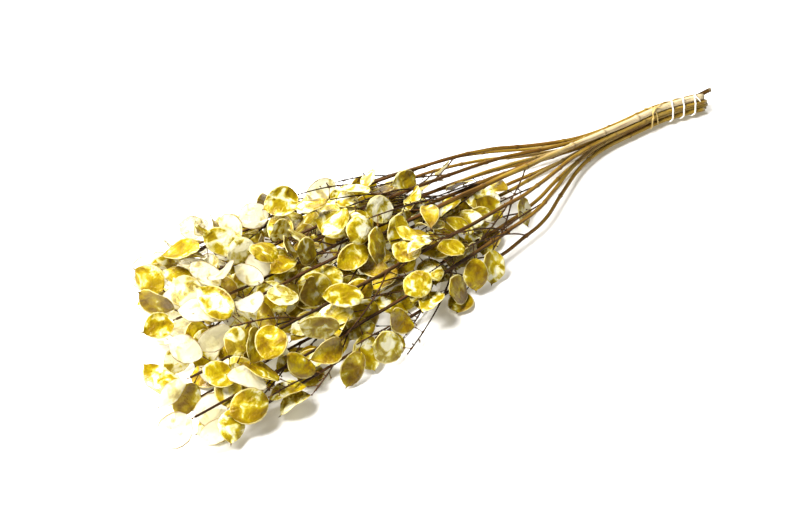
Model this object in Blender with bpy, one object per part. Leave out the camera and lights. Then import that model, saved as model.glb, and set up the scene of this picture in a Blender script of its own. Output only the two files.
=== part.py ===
"""A tied bunch of dried honesty stems with their flat seed pods, lying on a flat surface.

The cut ends lie at +X and the pods fan out towards -X. Z is up and the bunch rests on Z = 0.
Every stem grows as one closed body: a six-sided stalk, four-sided side twigs pushed out of the
stalk's faces, and pods pushed out of the twigs' faces. Lengths here are in millimetres; the
finished bodies are scaled to metres.
"""

import bmesh
import bpy
from math import cos, exp, pi, radians, sin, sqrt, tau
from mathutils import Vector
from mathutils.bvhtree import BVHTree
from random import Random

MM = 0.001
SEED = 41
BUTT_X = 395.0  # X of the cut ends; distances along a stem are measured from here towards -X
NECK = 118.0  # distance from the cut ends at which the stems begin to part
FAN_LENGTH = 260.0  # how slowly the fan opens
FAN_START = 190.0  # length over which the parting begins
TIP_DISTANCE = 700.0  # distance at which a stem reaches the place its tip aims for
BEND_LENGTH = 75.0  # the last stretch at the cut ends, which bends aside
BEND_ASIDE = 14.0
END_APART = (3.0, 5.0)  # how far the one long cut end leans out of the bundle
STEM_GAP = 0.5  # clear space between stems in the tied bundle
BUNDLE_LIFT = 2.9  # string and clear space under the bundle
PULL_ROUNDS = 300  # rounds in which the packing circles are pulled to their middle
PACK_ROUNDS = 500
PULL = 0.985
PACK_SPREAD = (0.16, 0.3)  # places before packing, as shares of the places aimed for
LEAN_START = 16.0  # where the long cut end begins to lean out, and over what length
LEAN_LENGTH = 30.0

# Where each stem aims at TIP_DISTANCE (across, up), its length, radius at the cut end, bow
# upwards, how far its cut end stands back, where its first side twig leaves, and its twigs.
STEMS = (
    (96.0, 12.0, 618.0, 2.2, 0.0, 3.0, 316.0, 3),
    (86.0, 30.0, 636.0, 2.3, 3.0, 5.0, 306.0, 4),
    (62.0, 44.0, 622.0, 2.3, 5.0, 1.0, 340.0, 4),
    (50.0, 13.0, 640.0, 2.1, 0.0, 6.0, 322.0, 3),
    (14.0, 54.0, 640.0, 2.3, 5.0, -9.0, 330.0, 4),
    (18.0, 36.0, 664.0, 2.2, 2.0, 2.0, 300.0, 4),
    (-16.0, 48.0, 668.0, 2.3, 4.0, 4.0, 284.0, 5),
    (2.0, 12.0, 650.0, 2.2, 0.0, 0.0, 340.0, 3),
    (-42.0, 56.0, 620.0, 3.4, 8.0, 8.0, 262.0, 5),
    (-30.0, 20.0, 664.0, 2.2, 2.0, 3.0, 292.0, 4),
    (-84.0, 48.0, 690.0, 2.3, 6.0, 5.0, 262.0, 6),
    (-78.0, 14.0, 696.0, 2.2, 0.0, 1.0, 276.0, 5),
    (-110.0, 32.0, 702.0, 2.3, 2.0, 2.0, 266.0, 6),
    (-120.0, 14.0, 672.0, 2.2, 0.0, 7.0, 300.0, 6),
)

STALK_SIDES = 6
TIED_STATIONS = (18.0, 40.0, 72.0, 118.0)  # rings where the stems bend together
STATION_GAP = 48.0  # spacing of the rings along the rest of a stalk
TWIG_STATION_GAP = 19.0
TWIG_FIRST_RING = 9.0
LAST_RING_BACK = 3.0  # from the last ring of a line to its end
NODE_GAP = 3.2  # spacing of the two rings that carry a side twig
POD_NODE_GAP = 1.8  # the same on a side twig, for a pod
NODE_CLEAR = 12.0  # no even ring stands nearer a node than this
TWIG_ROOM = 62.0  # no side twig leaves a stalk nearer its tip than this
TWIG_SPREAD = (21.0, 33.0)  # degrees between a stalk and the line to its twig's end
TWIG_STEEPNESS = 1.7  # how much wider a twig leaves than it ends
TWIG_BEND_AT = 0.38
TWIG_SAG = 8.0
TWIG_FLOOR = 1.0  # lowest height of a twig
TWIG_LONG = 118.0
TWIG_SHORT = 64.0
TWIG_RADIUS = 0.85
TWIG_END_RADIUS = 0.6
TIP_RADIUS = 0.95

POD_LENGTH = 34.0
POD_WIDTH = 29.0
POD_THICKNESS = 1.0
POD_STATIONS = (0.15, 0.5, 0.86)
POD_ROUNDNESS = 2.3
POD_STALK = (8.0, 13.0)
POD_STALK_RADIUS = 0.5
POD_STYLE = 2.5  # the small point left by the flower at a pod's tip
POD_SIZES = (0.86, 1.13)
POD_LENGTHS = (0.93, 1.05)
POD_WIDTHS = (0.93, 1.07)
POD_CUP = 3.8  # most that a pod's long edges rise off its middle
POD_BOW = 2.4  # most that its middle rises off its two ends
POD_TWIST = 5.0
POD_DROOP = 0.35
POD_LEAN = 0.4
POD_SPREAD = (42.0, 74.0)  # degrees between a twig and a pod's stalk
POD_ROLL = 1.1  # the second roll tried for each pod; the one that faces POD_FACING is kept
POD_FACING = (-0.3, -0.45, 0.84)
POD_SPACING = 14.0
LAST_POD_BACK = 12.0  # from a stalk's tip to its nearest side pod
TWIG_POD_BACK = 9.0
TWIG_BARE = 24.0  # the first stretch of a twig, which has no pods
PODS_ON_LEADER = 5
PODS_ON_TWIG = 5
POD_TRIES = 140
CLEARANCE = 0.46
ROOT_FREE = 4.5  # the part of a pod's stalk that may come near the twig it grows from
END_FREE = 5.0  # the part of a twig's end that may come near its last pod
GOLDEN_TURN = radians(137.5)  # the turn from one side shoot to the next round a stalk

STRING_RADIUS = 0.9
STRING_TURNS = 2.7
STRING_START = 2.2  # the turn at which its first end lies
STRING_FROM = 20.0
STRING_TO = 60.0
STRING_STEPS = 24  # per turn
TIE_GAP = 0.6  # clear space between the ties and the stems
STRAW_AT = 72.0
STRAW_ASKEW = 3.0
STRAW_WIDTH = 1.8
STRAW_THICKNESS = 0.7
STRAW_STEPS = 20

# The room the bunch takes up: X, how far it reaches to -Y and +Y, height.
ROOM = (
    (230.0, 20.0, 14.0, 32.0),
    (165.0, 36.0, 32.0, 42.0),
    (119.0, 62.0, 42.0, 50.0),
    (73.0, 78.0, 46.0, 54.0),
    (28.0, 94.0, 54.0, 58.0),
    (-6.0, 108.0, 66.0, 66.0),
    (-86.0, 130.0, 90.0, 78.0),
    (-150.0, 130.0, 86.0, 84.0),
    (-200.0, 130.0, 116.0, 84.0),
    (-240.0, 132.0, 114.0, 80.0),
    (-275.0, 134.0, 94.0, 74.0),
    (-345.0, 136.0, 70.0, 62.0),
)
ROOM_EDGE = 1.08
# Gaps between the three groups of tips: X where one starts, Y of its middle, how it widens.
GAPS = ((-205.0, 42.0, 0.2), (-255.0, -52.0, 0.25))

WOOD = ("honesty_stalk", (0.36, 0.22, 0.09, 1.0), 0.7)
STRING = ("white_string", (0.85, 0.82, 0.74, 1.0), 0.85)
STRAW = ("tan_straw", (0.62, 0.46, 0.22, 1.0), 0.7)

UP = Vector((0.0, 0.0, 1.0))
ALONG = Vector((1.0, 0.0, 0.0))


def smooth(x):
    """0 below 0, 1 above 1, and an even S between."""
    x = min(max(x, 0.0), 1.0)
    return x * x * (3.0 - 2.0 * x)


def between(table, x):
    """The rest of the table's row at x, straight between its rows."""
    if x >= table[0][0]:
        return table[0][1:]
    for first, second in zip(table, table[1:]):
        if x >= second[0]:
            share = (first[0] - x) / (first[0] - second[0])
            return tuple(a + (b - a) * share for a, b in zip(first[1:], second[1:]))
    return table[-1][1:]


def in_room(point):
    """True if the point lies in the dome that the bunch fills."""
    near, far, height = between(ROOM, point.x)
    half = near if point.y < 0.0 else far
    in_gap = any(abs(point.y - middle) < (start - point.x) * wide for start, middle, wide in GAPS)
    return not in_gap and (point.y / half) ** 2 + (point.z / height) ** 2 < ROOM_EDGE


def fan_share(distance):
    """How far the stems have opened at a distance from the cut ends."""
    past = max(distance - NECK, 0.0)
    return (1.0 - exp(-past / FAN_LENGTH)) * smooth(past / FAN_START)


def packed_places():
    """Circles pulled to one middle and pushed apart until they just miss each other."""
    radii = [row[3] for row in STEMS]
    middle = sum(row[1] for row in STEMS) / len(STEMS)
    places = [
        Vector((row[0] * PACK_SPREAD[0], (row[1] + row[4] - middle) * PACK_SPREAD[1]))
        for row in STEMS
    ]
    for step in range(PACK_ROUNDS):
        if step < PULL_ROUNDS:
            places = [place * PULL for place in places]
        for i, first in enumerate(places):
            for j in range(i):
                apart = first - places[j]
                need = radii[i] + radii[j] + STEM_GAP
                if apart.length < need:
                    push = apart.normalized() * (need - apart.length) * 0.5
                    first += push
                    places[j] -= push
    low = min(place.y - radius for place, radius in zip(places, radii))
    return [Vector((place.x, place.y - low + BUNDLE_LIFT)) for place in places]


class Stalk:
    """The main stalk of one stem, as a curve with a radius."""

    def __init__(self, row, place):
        self.aim = Vector(row[:2])
        self.length, self.butt, self.bow_up, self.cut, self.first_twig, self.twigs = row[2:]
        self.place = place

    def point(self, distance):
        share = fan_share(distance) / fan_share(TIP_DISTANCE)
        across, height = self.place.lerp(self.aim, share)
        run = (distance - NECK) / (self.length - NECK)
        bow = sin(pi * min(max(run, 0.0), 1.0))
        bend = max(BEND_LENGTH - distance, 0.0) / BEND_LENGTH
        apart = smooth((LEAN_START - distance) / LEAN_LENGTH) if self.cut < 0.0 else 0.0
        return Vector((
            BUTT_X - distance,
            across - BEND_ASIDE * bend ** 1.6 + END_APART[0] * apart,
            height + self.bow_up * bow + END_APART[1] * apart,
        ))

    def heading(self, distance):
        return (self.point(distance + 2.0) - self.point(distance - 2.0)).normalized()

    def radius(self, distance):
        run = min(max(distance / self.length, 0.0), 1.0)
        return self.butt + (TIP_RADIUS - self.butt) * run ** 1.15


class Twig:
    """A side twig: a bent line that leaves its stalk steeply and turns along it."""

    def __init__(self, start, first, end, radius):
        self.start, self.bend, self.end = start, first, end
        self.root_radius = radius
        self.length = (end - start).length * 1.04

    def point(self, distance):
        u = distance / self.length
        return (
            self.start * (1.0 - u) ** 2
            + self.bend * (2.0 * u * (1.0 - u))
            + self.end * u * u
        )

    def heading(self, distance):
        return (self.point(distance + 1.0) - self.point(distance - 1.0)).normalized()

    def radius(self, distance):
        run = min(max(distance / self.length, 0.0), 1.0)
        return self.root_radius + (TWIG_END_RADIUS - self.root_radius) * run


class Pod:
    """A flat seed pod at the end of its short stalk."""

    def __init__(self, root, base, axis, across, length, width, cup, bow, twist):
        self.root, self.base, self.axis, self.across = root, base, axis, across
        self.face = axis.cross(across)
        self.length, self.width = length, width
        self.cup, self.bow, self.twist = cup, bow, twist

    def half_width(self, u):
        return 0.5 * self.width * sqrt(max(1.0 - abs(2.0 * u - 1.0) ** POD_ROUNDNESS, 0.0))

    def place(self, u, v, off=0.0):
        """The point at u along the pod, v across it from -1 to 1, and off its face."""
        half = self.half_width(u)
        spread = half / (0.5 * self.width)
        raised = (
            self.cup * (v * spread) ** 2
            + self.bow * 4.0 * u * (1.0 - u)
            + self.twist * v * spread * (u - 0.5)
        )
        return (
            self.base
            + self.axis * (u * self.length)
            + self.across * (v * half)
            + self.face * (raised + off)
        )

    def ring(self, u, sides, thickness, grow=0.0):
        """A flat lens-shaped ring of points round the pod at u."""
        points = []
        for k in range(sides):
            turn = tau * k / sides
            point = self.place(u, cos(turn), 0.5 * thickness * sin(turn))
            points.append(point + self.across * (grow * cos(turn)))
        return points

    def tip(self):
        return self.place(1.0, 0.0) + self.axis * POD_STYLE

    def small_ring(self, middle, radius, sides):
        """A round ring of points square to the pod's length."""
        return [
            middle
            + self.across * (radius * cos(tau * k / sides))
            + self.face * (radius * sin(tau * k / sides))
            for k in range(sides)
        ]


def cross_frame(heading):
    """Two directions square to a heading and to each other."""
    other = ALONG if abs(heading.z) > 0.9 else UP
    side = heading.cross(other).normalized()
    return side, side.cross(heading).normalized()


def round_ring(middle, heading, radius, sides):
    """A ring of points round a middle, turning counter-clockwise about the heading."""
    side, up = cross_frame(heading)
    return [
        middle + side * (radius * cos(tau * k / sides)) - up * (radius * sin(tau * k / sides))
        for k in range(sides)
    ]


def loft(rings):
    """Points and faces of the closed skin over a row of equal rings."""
    sides = len(rings[0])
    points = [point for ring in rings for point in ring]
    faces = [tuple(reversed(range(sides)))]
    for level in range(len(rings) - 1):
        low = level * sides
        for k in range(sides):
            after = (k + 1) % sides
            faces.append((low + k, low + after, low + sides + after, low + sides + k))
    faces.append(tuple(range(len(points) - sides, len(points))))
    return points, faces


class Crowd:
    """Everything placed so far, each skin with its box for a quick first look."""

    def __init__(self):
        self.items = []

    def add(self, skin, owner):
        self.items.append((box_of(skin[0]), BVHTree.FromPolygons(*skin), owner))

    def is_clear(self, points, faces, spared=None):
        """True if the skin meets nothing, but for what the spared owner put there."""
        box = box_of(points)
        near = [
            tree
            for other, tree, owner in self.items
            if owner is not spared and boxes_meet(box, other)
        ]
        if not near:
            return True
        skin = BVHTree.FromPolygons(points, faces)
        return not any(skin.overlap(tree) for tree in near)


def box_of(points):
    return (
        [min(point[axis] for point in points) for axis in range(3)],
        [max(point[axis] for point in points) for axis in range(3)],
    )


def boxes_meet(first, second):
    return all(
        first[0][axis] <= second[1][axis] and second[0][axis] <= first[1][axis]
        for axis in range(3)
    )


def line_skin(line, start, end, step, spare):
    """The skin of a stalk or twig between two distances, grown by the spare room."""
    count = max(int((end - start) / step), 1)
    rings = []
    for k in range(count + 1):
        distance = start + (end - start) * k / count
        rings.append(
            round_ring(line.point(distance), line.heading(distance), line.radius(distance) + spare, 4)
        )
    return loft(rings)


def pod_stalk_skin(pod, start, end, spare):
    """The skin of a pod's stalk between two points, grown by the spare room."""
    reach = POD_STALK_RADIUS + spare
    return loft([pod.small_ring(start, reach, 4), pod.small_ring(end, reach, 4)])


def pod_skin(pod, spare):
    """The skin of a pod and the outer part of its stalk, grown by the spare room."""
    toward = (pod.base - pod.root).normalized()
    skin = pod_stalk_skin(pod, pod.root + toward * ROOT_FREE, pod.base, spare)
    outline = [
        pod.ring(u, 4, POD_THICKNESS + 2.0 * spare, spare + 0.6)
        for u in (0.02, 0.15, 0.35, 0.65, 0.86, 0.99)
    ]
    body = loft(outline + [pod.small_ring(pod.tip(), spare + 0.2, 4)])
    shift = len(skin[0])
    return (
        skin[0] + body[0],
        skin[1] + [tuple(index + shift for index in face) for face in body[1]],
    )


def grown_twig(stalk, distance, turn, spread, length, sag):
    """A twig that leaves the stalk at a distance, turned about it and spread from it."""
    heading = stalk.heading(distance)
    side, up = cross_frame(heading)
    out = side * cos(turn) + up * sin(turn)
    start = stalk.point(distance)
    steep = spread * TWIG_STEEPNESS
    first = start + (heading * cos(steep) + out * sin(steep)) * (length * TWIG_BEND_AT)
    end = start + (heading * cos(spread) + out * sin(spread)) * length - UP * sag
    return Twig(start, first, end, min(TWIG_RADIUS, stalk.radius(distance) * 0.6))


def grown_pod(line, distance, turn, spread, roll, chance):
    """A pod on a short stalk that leaves a line at a distance."""
    heading = line.heading(distance)
    side, up = cross_frame(heading)
    out = side * cos(turn) + up * sin(turn)
    toward = heading * cos(spread) + out * sin(spread)
    root = line.point(distance)
    base = root + toward * (chance.uniform(*POD_STALK) + line.radius(distance))
    return turned_pod(root, base, toward, roll, chance)


def turned_pod(root, base, toward, roll, chance):
    """A pod at its base, hanging a little and rolled about its own length."""
    axis = (toward - UP * chance.uniform(0.0, POD_DROOP)).normalized()
    side, up = cross_frame(axis)
    across = side * cos(roll) + up * sin(roll)
    other = side * cos(roll + POD_ROLL) + up * sin(roll + POD_ROLL)
    facing = Vector(POD_FACING)
    if abs(axis.cross(other).dot(facing)) > abs(axis.cross(across).dot(facing)):
        across = other
    size = chance.uniform(*POD_SIZES)
    return Pod(
        root,
        base,
        axis,
        across,
        POD_LENGTH * size * chance.uniform(*POD_LENGTHS),
        POD_WIDTH * size * chance.uniform(*POD_WIDTHS),
        chance.uniform(-POD_CUP, POD_CUP),
        chance.uniform(-POD_BOW, POD_BOW),
        chance.uniform(-POD_TWIST, POD_TWIST),
    )


def settled(pod, line, crowd):
    """Adds a pod on a line to the crowd if it is in the room and clear of everything."""
    skin = pod_skin(pod, CLEARANCE)
    if min(point.z for point in skin[0]) < CLEARANCE * 0.4 or not in_room(pod.tip()):
        return False
    toward = (pod.base - pod.root).normalized()
    root = pod_stalk_skin(pod, pod.root + toward, pod.root + toward * ROOT_FREE, CLEARANCE * 0.5)
    if not crowd.is_clear(*skin) or not crowd.is_clear(*root, spared=line):
        return False
    crowd.add(skin, pod)
    crowd.add(root, line)
    return True


def add_pod(line, distance, turn, crowd, chance):
    """Tries places for a pod near a distance along a line; None if none is free."""
    for attempt in range(POD_TRIES):
        loose = attempt / POD_TRIES
        pod = grown_pod(
            line,
            distance,
            turn + chance.uniform(-1.0, 1.0) * (0.5 + 2.6 * loose),
            radians(chance.uniform(*POD_SPREAD)),
            chance.uniform(0.0, pi),
            chance,
        )
        if settled(pod, line, crowd):
            return pod
    return None


def add_end_pod(line, crowd, chance):
    """The pod that ends a line."""
    root = line.point(line.length - 6.0)
    base = line.point(line.length)
    toward = line.heading(line.length)
    for attempt in range(POD_TRIES):
        lean = Vector([chance.uniform(-POD_LEAN, POD_LEAN) for axis in range(3)])
        pod = turned_pod(root, base, (toward + lean).normalized(), chance.uniform(0.0, pi), chance)
        if settled(pod, line, crowd):
            return pod
    return None


def add_twig(stalk, distance, turn, length, crowd, chance):
    """Tries places for a side twig; None if none is free."""
    for attempt in range(POD_TRIES):
        loose = attempt / POD_TRIES
        reach = length * (1.0 - 0.35 * loose)
        twig = grown_twig(
            stalk,
            distance,
            turn + chance.uniform(-1.0, 1.0) * (0.3 + 2.8 * loose),
            radians(chance.uniform(*TWIG_SPREAD)),
            reach,
            chance.uniform(0.0, TWIG_SAG),
        )
        skin = line_skin(twig, TWIG_FIRST_RING, twig.length - END_FREE, 9.0, CLEARANCE)
        if min(point.z for point in skin[0]) < TWIG_FLOOR or not in_room(twig.end):
            continue
        root = line_skin(twig, 3.0, TWIG_FIRST_RING, 3.0, CLEARANCE * 0.5)
        if crowd.is_clear(*skin) and crowd.is_clear(*root, spared=stalk):
            crowd.add(skin, twig)
            crowd.add(root, stalk)
            return twig
    return None


def laid_out_stems():
    """All stalks, twigs and pods, each placed where nothing else is."""
    chance = Random(SEED)
    crowd = Crowd()
    stalks = [Stalk(row, place) for row, place in zip(STEMS, packed_places())]
    for stalk in stalks:
        for k in range(8):
            start = NECK + (stalk.length - END_FREE - NECK) * k / 8
            end = NECK + (stalk.length - END_FREE - NECK) * (k + 1) / 8
            crowd.add(line_skin(stalk, start, end, 25.0, CLEARANCE * 0.7), stalk)
    stems = []
    for stalk in stalks:
        turn = chance.uniform(0.0, tau)
        span = stalk.length - TWIG_ROOM - stalk.first_twig
        twigs = []
        for k in range(stalk.twigs):
            share = (k + chance.uniform(0.0, 0.7)) / stalk.twigs
            at = stalk.first_twig + span * share
            reach = TWIG_LONG + (TWIG_SHORT - TWIG_LONG) * share
            turn += GOLDEN_TURN
            twig = add_twig(stalk, at, turn, reach * chance.uniform(0.85, 1.1), crowd, chance)
            if twig:
                twigs.append((at, twig, []))
        stems.append((stalk, twigs, []))
    for stalk, twigs, own in stems:
        pod = add_end_pod(stalk, crowd, chance)
        if pod:
            own.append((stalk.length, pod))
        for at, twig, pods in twigs:
            pod = add_end_pod(twig, crowd, chance)
            if pod:
                pods.append((twig.length, pod))
    for stalk, twigs, own in stems:
        turn = chance.uniform(0.0, tau)
        for k in range(PODS_ON_LEADER):
            at = stalk.length - LAST_POD_BACK - POD_SPACING * k
            turn += GOLDEN_TURN
            pod = add_pod(stalk, at, turn, crowd, chance)
            if pod:
                own.append((at, pod))
        for at, twig, pods in twigs:
            for k in range(PODS_ON_TWIG):
                place = twig.length - TWIG_POD_BACK - (twig.length - TWIG_BARE) * k / PODS_ON_TWIG
                turn += GOLDEN_TURN
                pod = add_pod(twig, place, turn, crowd, chance)
                if pod:
                    pods.append((place, pod))
    return stems


def grow(bm, cap, ring):
    """Pushes a cap out to a new ring of points, turned to twist the sides least."""
    made = bmesh.ops.extrude_discrete_faces(bm, faces=[cap])["faces"][0]
    corners = list(made.verts)
    count = len(corners)
    turned = min(
        range(count),
        key=lambda shift: sum(
            (corners[k].co - ring[(k + shift) % count]).length_squared for k in range(count)
        ),
    )
    for k, corner in enumerate(corners):
        corner.co = ring[(k + turned) % count]
    made.normal_update()
    return made


def sides_of(cap):
    """The faces that share an edge with a cap."""
    return [face for edge in cap.edges for face in edge.link_faces if face is not cap]


def side_facing(cap, direction):
    """The side below a cap that looks most along a direction."""
    for face in sides_of(cap):
        face.normal_update()
    return max(sides_of(cap), key=lambda face: face.normal.dot(direction))


def build_pod(bm, cap, pod):
    """Pushes a pod, with its short stalk, out of a face."""
    sides = len(cap.verts)
    cap = grow(bm, cap, pod.small_ring(pod.root.lerp(pod.base, 0.97), POD_STALK_RADIUS, sides))
    for u in POD_STATIONS:
        cap = grow(bm, cap, pod.ring(u, sides, POD_THICKNESS))
    point = bmesh.ops.poke(bm, faces=[cap])["verts"][0]
    point.co = pod.tip()


def build_line(bm, cap, line, stations, growths, sides):
    """Pushes a cap along a line. Growths leave between the two rings of their own node."""
    for distance in stations:
        ring = round_ring(line.point(distance), line.heading(distance), line.radius(distance), sides)
        cap = grow(bm, cap, ring)
        for place, direction, build in growths:
            if abs(place - distance) < 1e-6:
                build(side_facing(cap, direction))
    return cap


def stations_with_nodes(start, end, gap, nodes, half):
    """Even stations, with a pair of stations at every node in place of any near it."""
    count = max(int(round((end - start) / gap)), 1)
    even = [start + (end - start) * k / count for k in range(count + 1)]
    even = [s for s in even if all(abs(s - node) > NODE_CLEAR for node in nodes)]
    if (not even or even[-1] < end - half) and all(node + half < end - half for node in nodes):
        even.append(end)
    pairs = [node + half * sign for node in nodes for sign in (-1.0, 1.0)]
    return sorted(even + pairs)


def direction_out(line, distance, target):
    """The way from a line towards a target, square to the line."""
    heading = line.heading(distance)
    out = target - line.point(distance)
    return (out - heading * out.dot(heading)).normalized()


def build_twig(bm, face, twig, pods):
    """A side twig with its pods, pushed out of a stalk's face."""
    half = POD_NODE_GAP * 0.5
    ends = [pod for at, pod in pods if at >= twig.length]
    others = [(at, pod) for at, pod in pods if at < twig.length]
    growths = [
        (
            at + half,
            direction_out(twig, at, pod.base),
            lambda side, pod=pod: build_pod(bm, side, pod),
        )
        for at, pod in others
    ]
    last = twig.length - LAST_RING_BACK
    nodes = [at for at, pod in others]
    stations = stations_with_nodes(TWIG_FIRST_RING, last, TWIG_STATION_GAP, nodes, half)
    cap = build_line(bm, face, twig, stations, growths, 4)
    if ends:
        build_pod(bm, cap, ends[0])


def build_stem(stalk, twigs, own):
    """One stem as one closed body."""
    half = NODE_GAP * 0.5
    ends = [pod for at, pod in own if at >= stalk.length]
    others = [(at, pod) for at, pod in own if at < stalk.length]
    growths = [
        (
            at + half,
            direction_out(stalk, at, twig.bend),
            lambda side, twig=twig, pods=pods: build_twig(bm, side, twig, pods),
        )
        for at, twig, pods in twigs
    ] + [
        (
            at + half,
            direction_out(stalk, at, pod.base),
            lambda side, pod=pod: build_pod(bm, side, pod),
        )
        for at, pod in others
    ]
    nodes = [at for at, twig, pods in twigs] + [at for at, pod in others]
    last = stalk.length - LAST_RING_BACK
    stations = [stalk.cut, *TIED_STATIONS]
    stations += stations_with_nodes(NECK + STATION_GAP, last, STATION_GAP, nodes, half)
    bm = skinned(*loft([ring_at(stalk, station) for station in stations[:2]]))
    bm.faces.ensure_lookup_table()
    cap = build_line(bm, bm.faces[-1], stalk, stations[2:], growths, STALK_SIDES)
    if ends:
        build_pod(bm, cap, ends[0])
    return bm


def ring_at(stalk, distance):
    return round_ring(
        stalk.point(distance), stalk.heading(distance), stalk.radius(distance), STALK_SIDES
    )


def hull_point(stalks, distance, turn, off):
    """The point of the bundle's taut outline, off its surface, that faces a turn."""
    way = Vector((0.0, cos(turn), sin(turn)))
    best = max(
        stalks,
        key=lambda stalk: stalk.point(distance).dot(way) + stalk.radius(distance),
    )
    return best.point(distance) + way * (best.radius(distance) + off)


def build_string(stalks):
    """The string: a coil that climbs along the bundle while it goes round."""
    steps = int(STRING_TURNS * STRING_STEPS)
    rings = []
    for k in range(steps + 1):
        share = k / steps
        turn = STRING_START + tau * STRING_TURNS * share
        distance = STRING_FROM + (STRING_TO - STRING_FROM) * share
        middle = hull_point(stalks, distance, turn, STRING_RADIUS + TIE_GAP)
        out = Vector((0.0, cos(turn), sin(turn))) * STRING_RADIUS
        along = ALONG * STRING_RADIUS
        rings.append([middle + out, middle - along, middle - out, middle + along])
    return skinned(*loft(rings))


def build_straw(stalks):
    """The straw band: a flat loop round the bundle, a little askew."""
    rings = []
    for k in range(STRAW_STEPS):
        turn = tau * k / STRAW_STEPS
        distance = STRAW_AT + STRAW_ASKEW * sin(turn)
        inner = hull_point(stalks, distance, turn, TIE_GAP)
        outer = hull_point(stalks, distance, turn, TIE_GAP + STRAW_THICKNESS)
        half = ALONG * (STRAW_WIDTH * 0.5)
        rings.append([inner + half, outer + half, outer - half, inner - half])
    points = [point for ring in rings for point in ring]
    faces = []
    for k in range(STRAW_STEPS):
        low, high = 4 * k, 4 * ((k + 1) % STRAW_STEPS)
        for side in range(4):
            after = (side + 1) % 4
            faces.append((low + side, low + after, high + after, high + side))
    return skinned(points, faces)


def skinned(points, faces):
    bm = bmesh.new()
    verts = [bm.verts.new(point) for point in points]
    for face in faces:
        bm.faces.new([verts[index] for index in face])
    return bm


def material(name, colour, roughness):
    made = bpy.data.materials.new(name)
    made.use_nodes = True
    surface = made.node_tree.nodes["Principled BSDF"]
    surface.inputs["Base Color"].default_value = colour
    surface.inputs["Roughness"].default_value = roughness
    surface.inputs["Metallic"].default_value = 0.0
    return made


def finished(bodies):
    """Names and scales the bodies, with the whole bunch centred and resting on Z = 0."""
    corners = [vert.co for name, bm, skin in bodies for vert in bm.verts]
    low, high = box_of(corners)
    shift = Vector(((low[0] + high[0]) / 2, (low[1] + high[1]) / 2, low[2]))
    for name, bm, skin in bodies:
        for vert in bm.verts:
            vert.co = (vert.co - shift) * MM
        bmesh.ops.triangulate(bm, faces=bm.faces[:])
        mesh = bpy.data.meshes.new(name)
        bm.to_mesh(mesh)
        bm.free()
        mesh.materials.append(material(name + "_" + skin[0], skin[1], skin[2]))
        bpy.context.scene.collection.objects.link(bpy.data.objects.new(name, mesh))


def main():
    for thing in list(bpy.data.objects):
        bpy.data.objects.remove(thing, do_unlink=True)
    stems = laid_out_stems()
    stalks = [stalk for stalk, twigs, own in stems]
    bodies = []
    for number, (stalk, twigs, own) in enumerate(stems, start=1):
        bodies.append((f"stem_{number:02d}", build_stem(stalk, twigs, own), WOOD))
    bodies.append(("binding_string", build_string(stalks), STRING))
    bodies.append(("straw_tie", build_straw(stalks), STRAW))
    finished(bodies)


main()
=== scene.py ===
"""The tied bunch of dried honesty in its finished look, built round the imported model.

The stems are laid out as the model's own are, in millimetres: the same numbers and the same
random draws give the same stalks, side twigs and pods. They are then made as fine surfaces, each
a grid of rings worked out as whole arrays, and moved to the model's place, in metres.
"""

from math import cos, exp, pi, radians, sin, sqrt, tau
from random import Random

import bpy
import numpy as np
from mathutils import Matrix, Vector
from mathutils.bvhtree import BVHTree


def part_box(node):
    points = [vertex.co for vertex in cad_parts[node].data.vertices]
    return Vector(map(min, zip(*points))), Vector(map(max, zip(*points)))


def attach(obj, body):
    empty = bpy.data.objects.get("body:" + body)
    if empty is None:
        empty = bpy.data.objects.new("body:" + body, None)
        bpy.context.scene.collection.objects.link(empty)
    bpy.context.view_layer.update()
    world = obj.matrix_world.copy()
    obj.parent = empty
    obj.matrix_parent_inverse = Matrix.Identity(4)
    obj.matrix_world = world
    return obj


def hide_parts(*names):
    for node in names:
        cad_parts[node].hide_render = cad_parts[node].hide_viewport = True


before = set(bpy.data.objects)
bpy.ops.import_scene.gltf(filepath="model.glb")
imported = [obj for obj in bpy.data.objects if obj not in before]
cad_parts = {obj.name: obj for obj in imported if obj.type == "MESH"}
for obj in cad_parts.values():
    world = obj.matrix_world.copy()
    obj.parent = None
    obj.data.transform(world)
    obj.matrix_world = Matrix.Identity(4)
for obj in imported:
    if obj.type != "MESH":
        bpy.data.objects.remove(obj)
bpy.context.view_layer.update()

# The layout, with the numbers that the model has.
MM = 0.001
SEED = 41
BUTT_X = 395.0  # X of the cut ends; distances along a stem are measured from here towards -X
NECK = 118.0  # distance from the cut ends at which the stems begin to part
FAN_LENGTH = 260.0  # how slowly the fan opens
FAN_START = 190.0  # length over which the parting begins
TIP_DISTANCE = 700.0  # distance at which a stem reaches the place its tip aims for
BEND_LENGTH = 75.0  # the last stretch at the cut ends, which bends aside
BEND_ASIDE = 14.0
BEND_POWER = 1.6
END_APART = (3.0, 5.0)  # how far the one long cut end leans out of the bundle
STEM_GAP = 0.5  # clear space between stems in the tied bundle
BUNDLE_LIFT = 2.9  # string and clear space under the bundle
PULL_ROUNDS = 300  # rounds in which the packing circles are pulled to their middle
PACK_ROUNDS = 500
PULL = 0.985
PACK_SPREAD = (0.16, 0.3)  # places before packing, as shares of the places aimed for
LEAN_START = 16.0  # where the long cut end begins to lean out, and over what length
LEAN_LENGTH = 30.0

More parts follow.
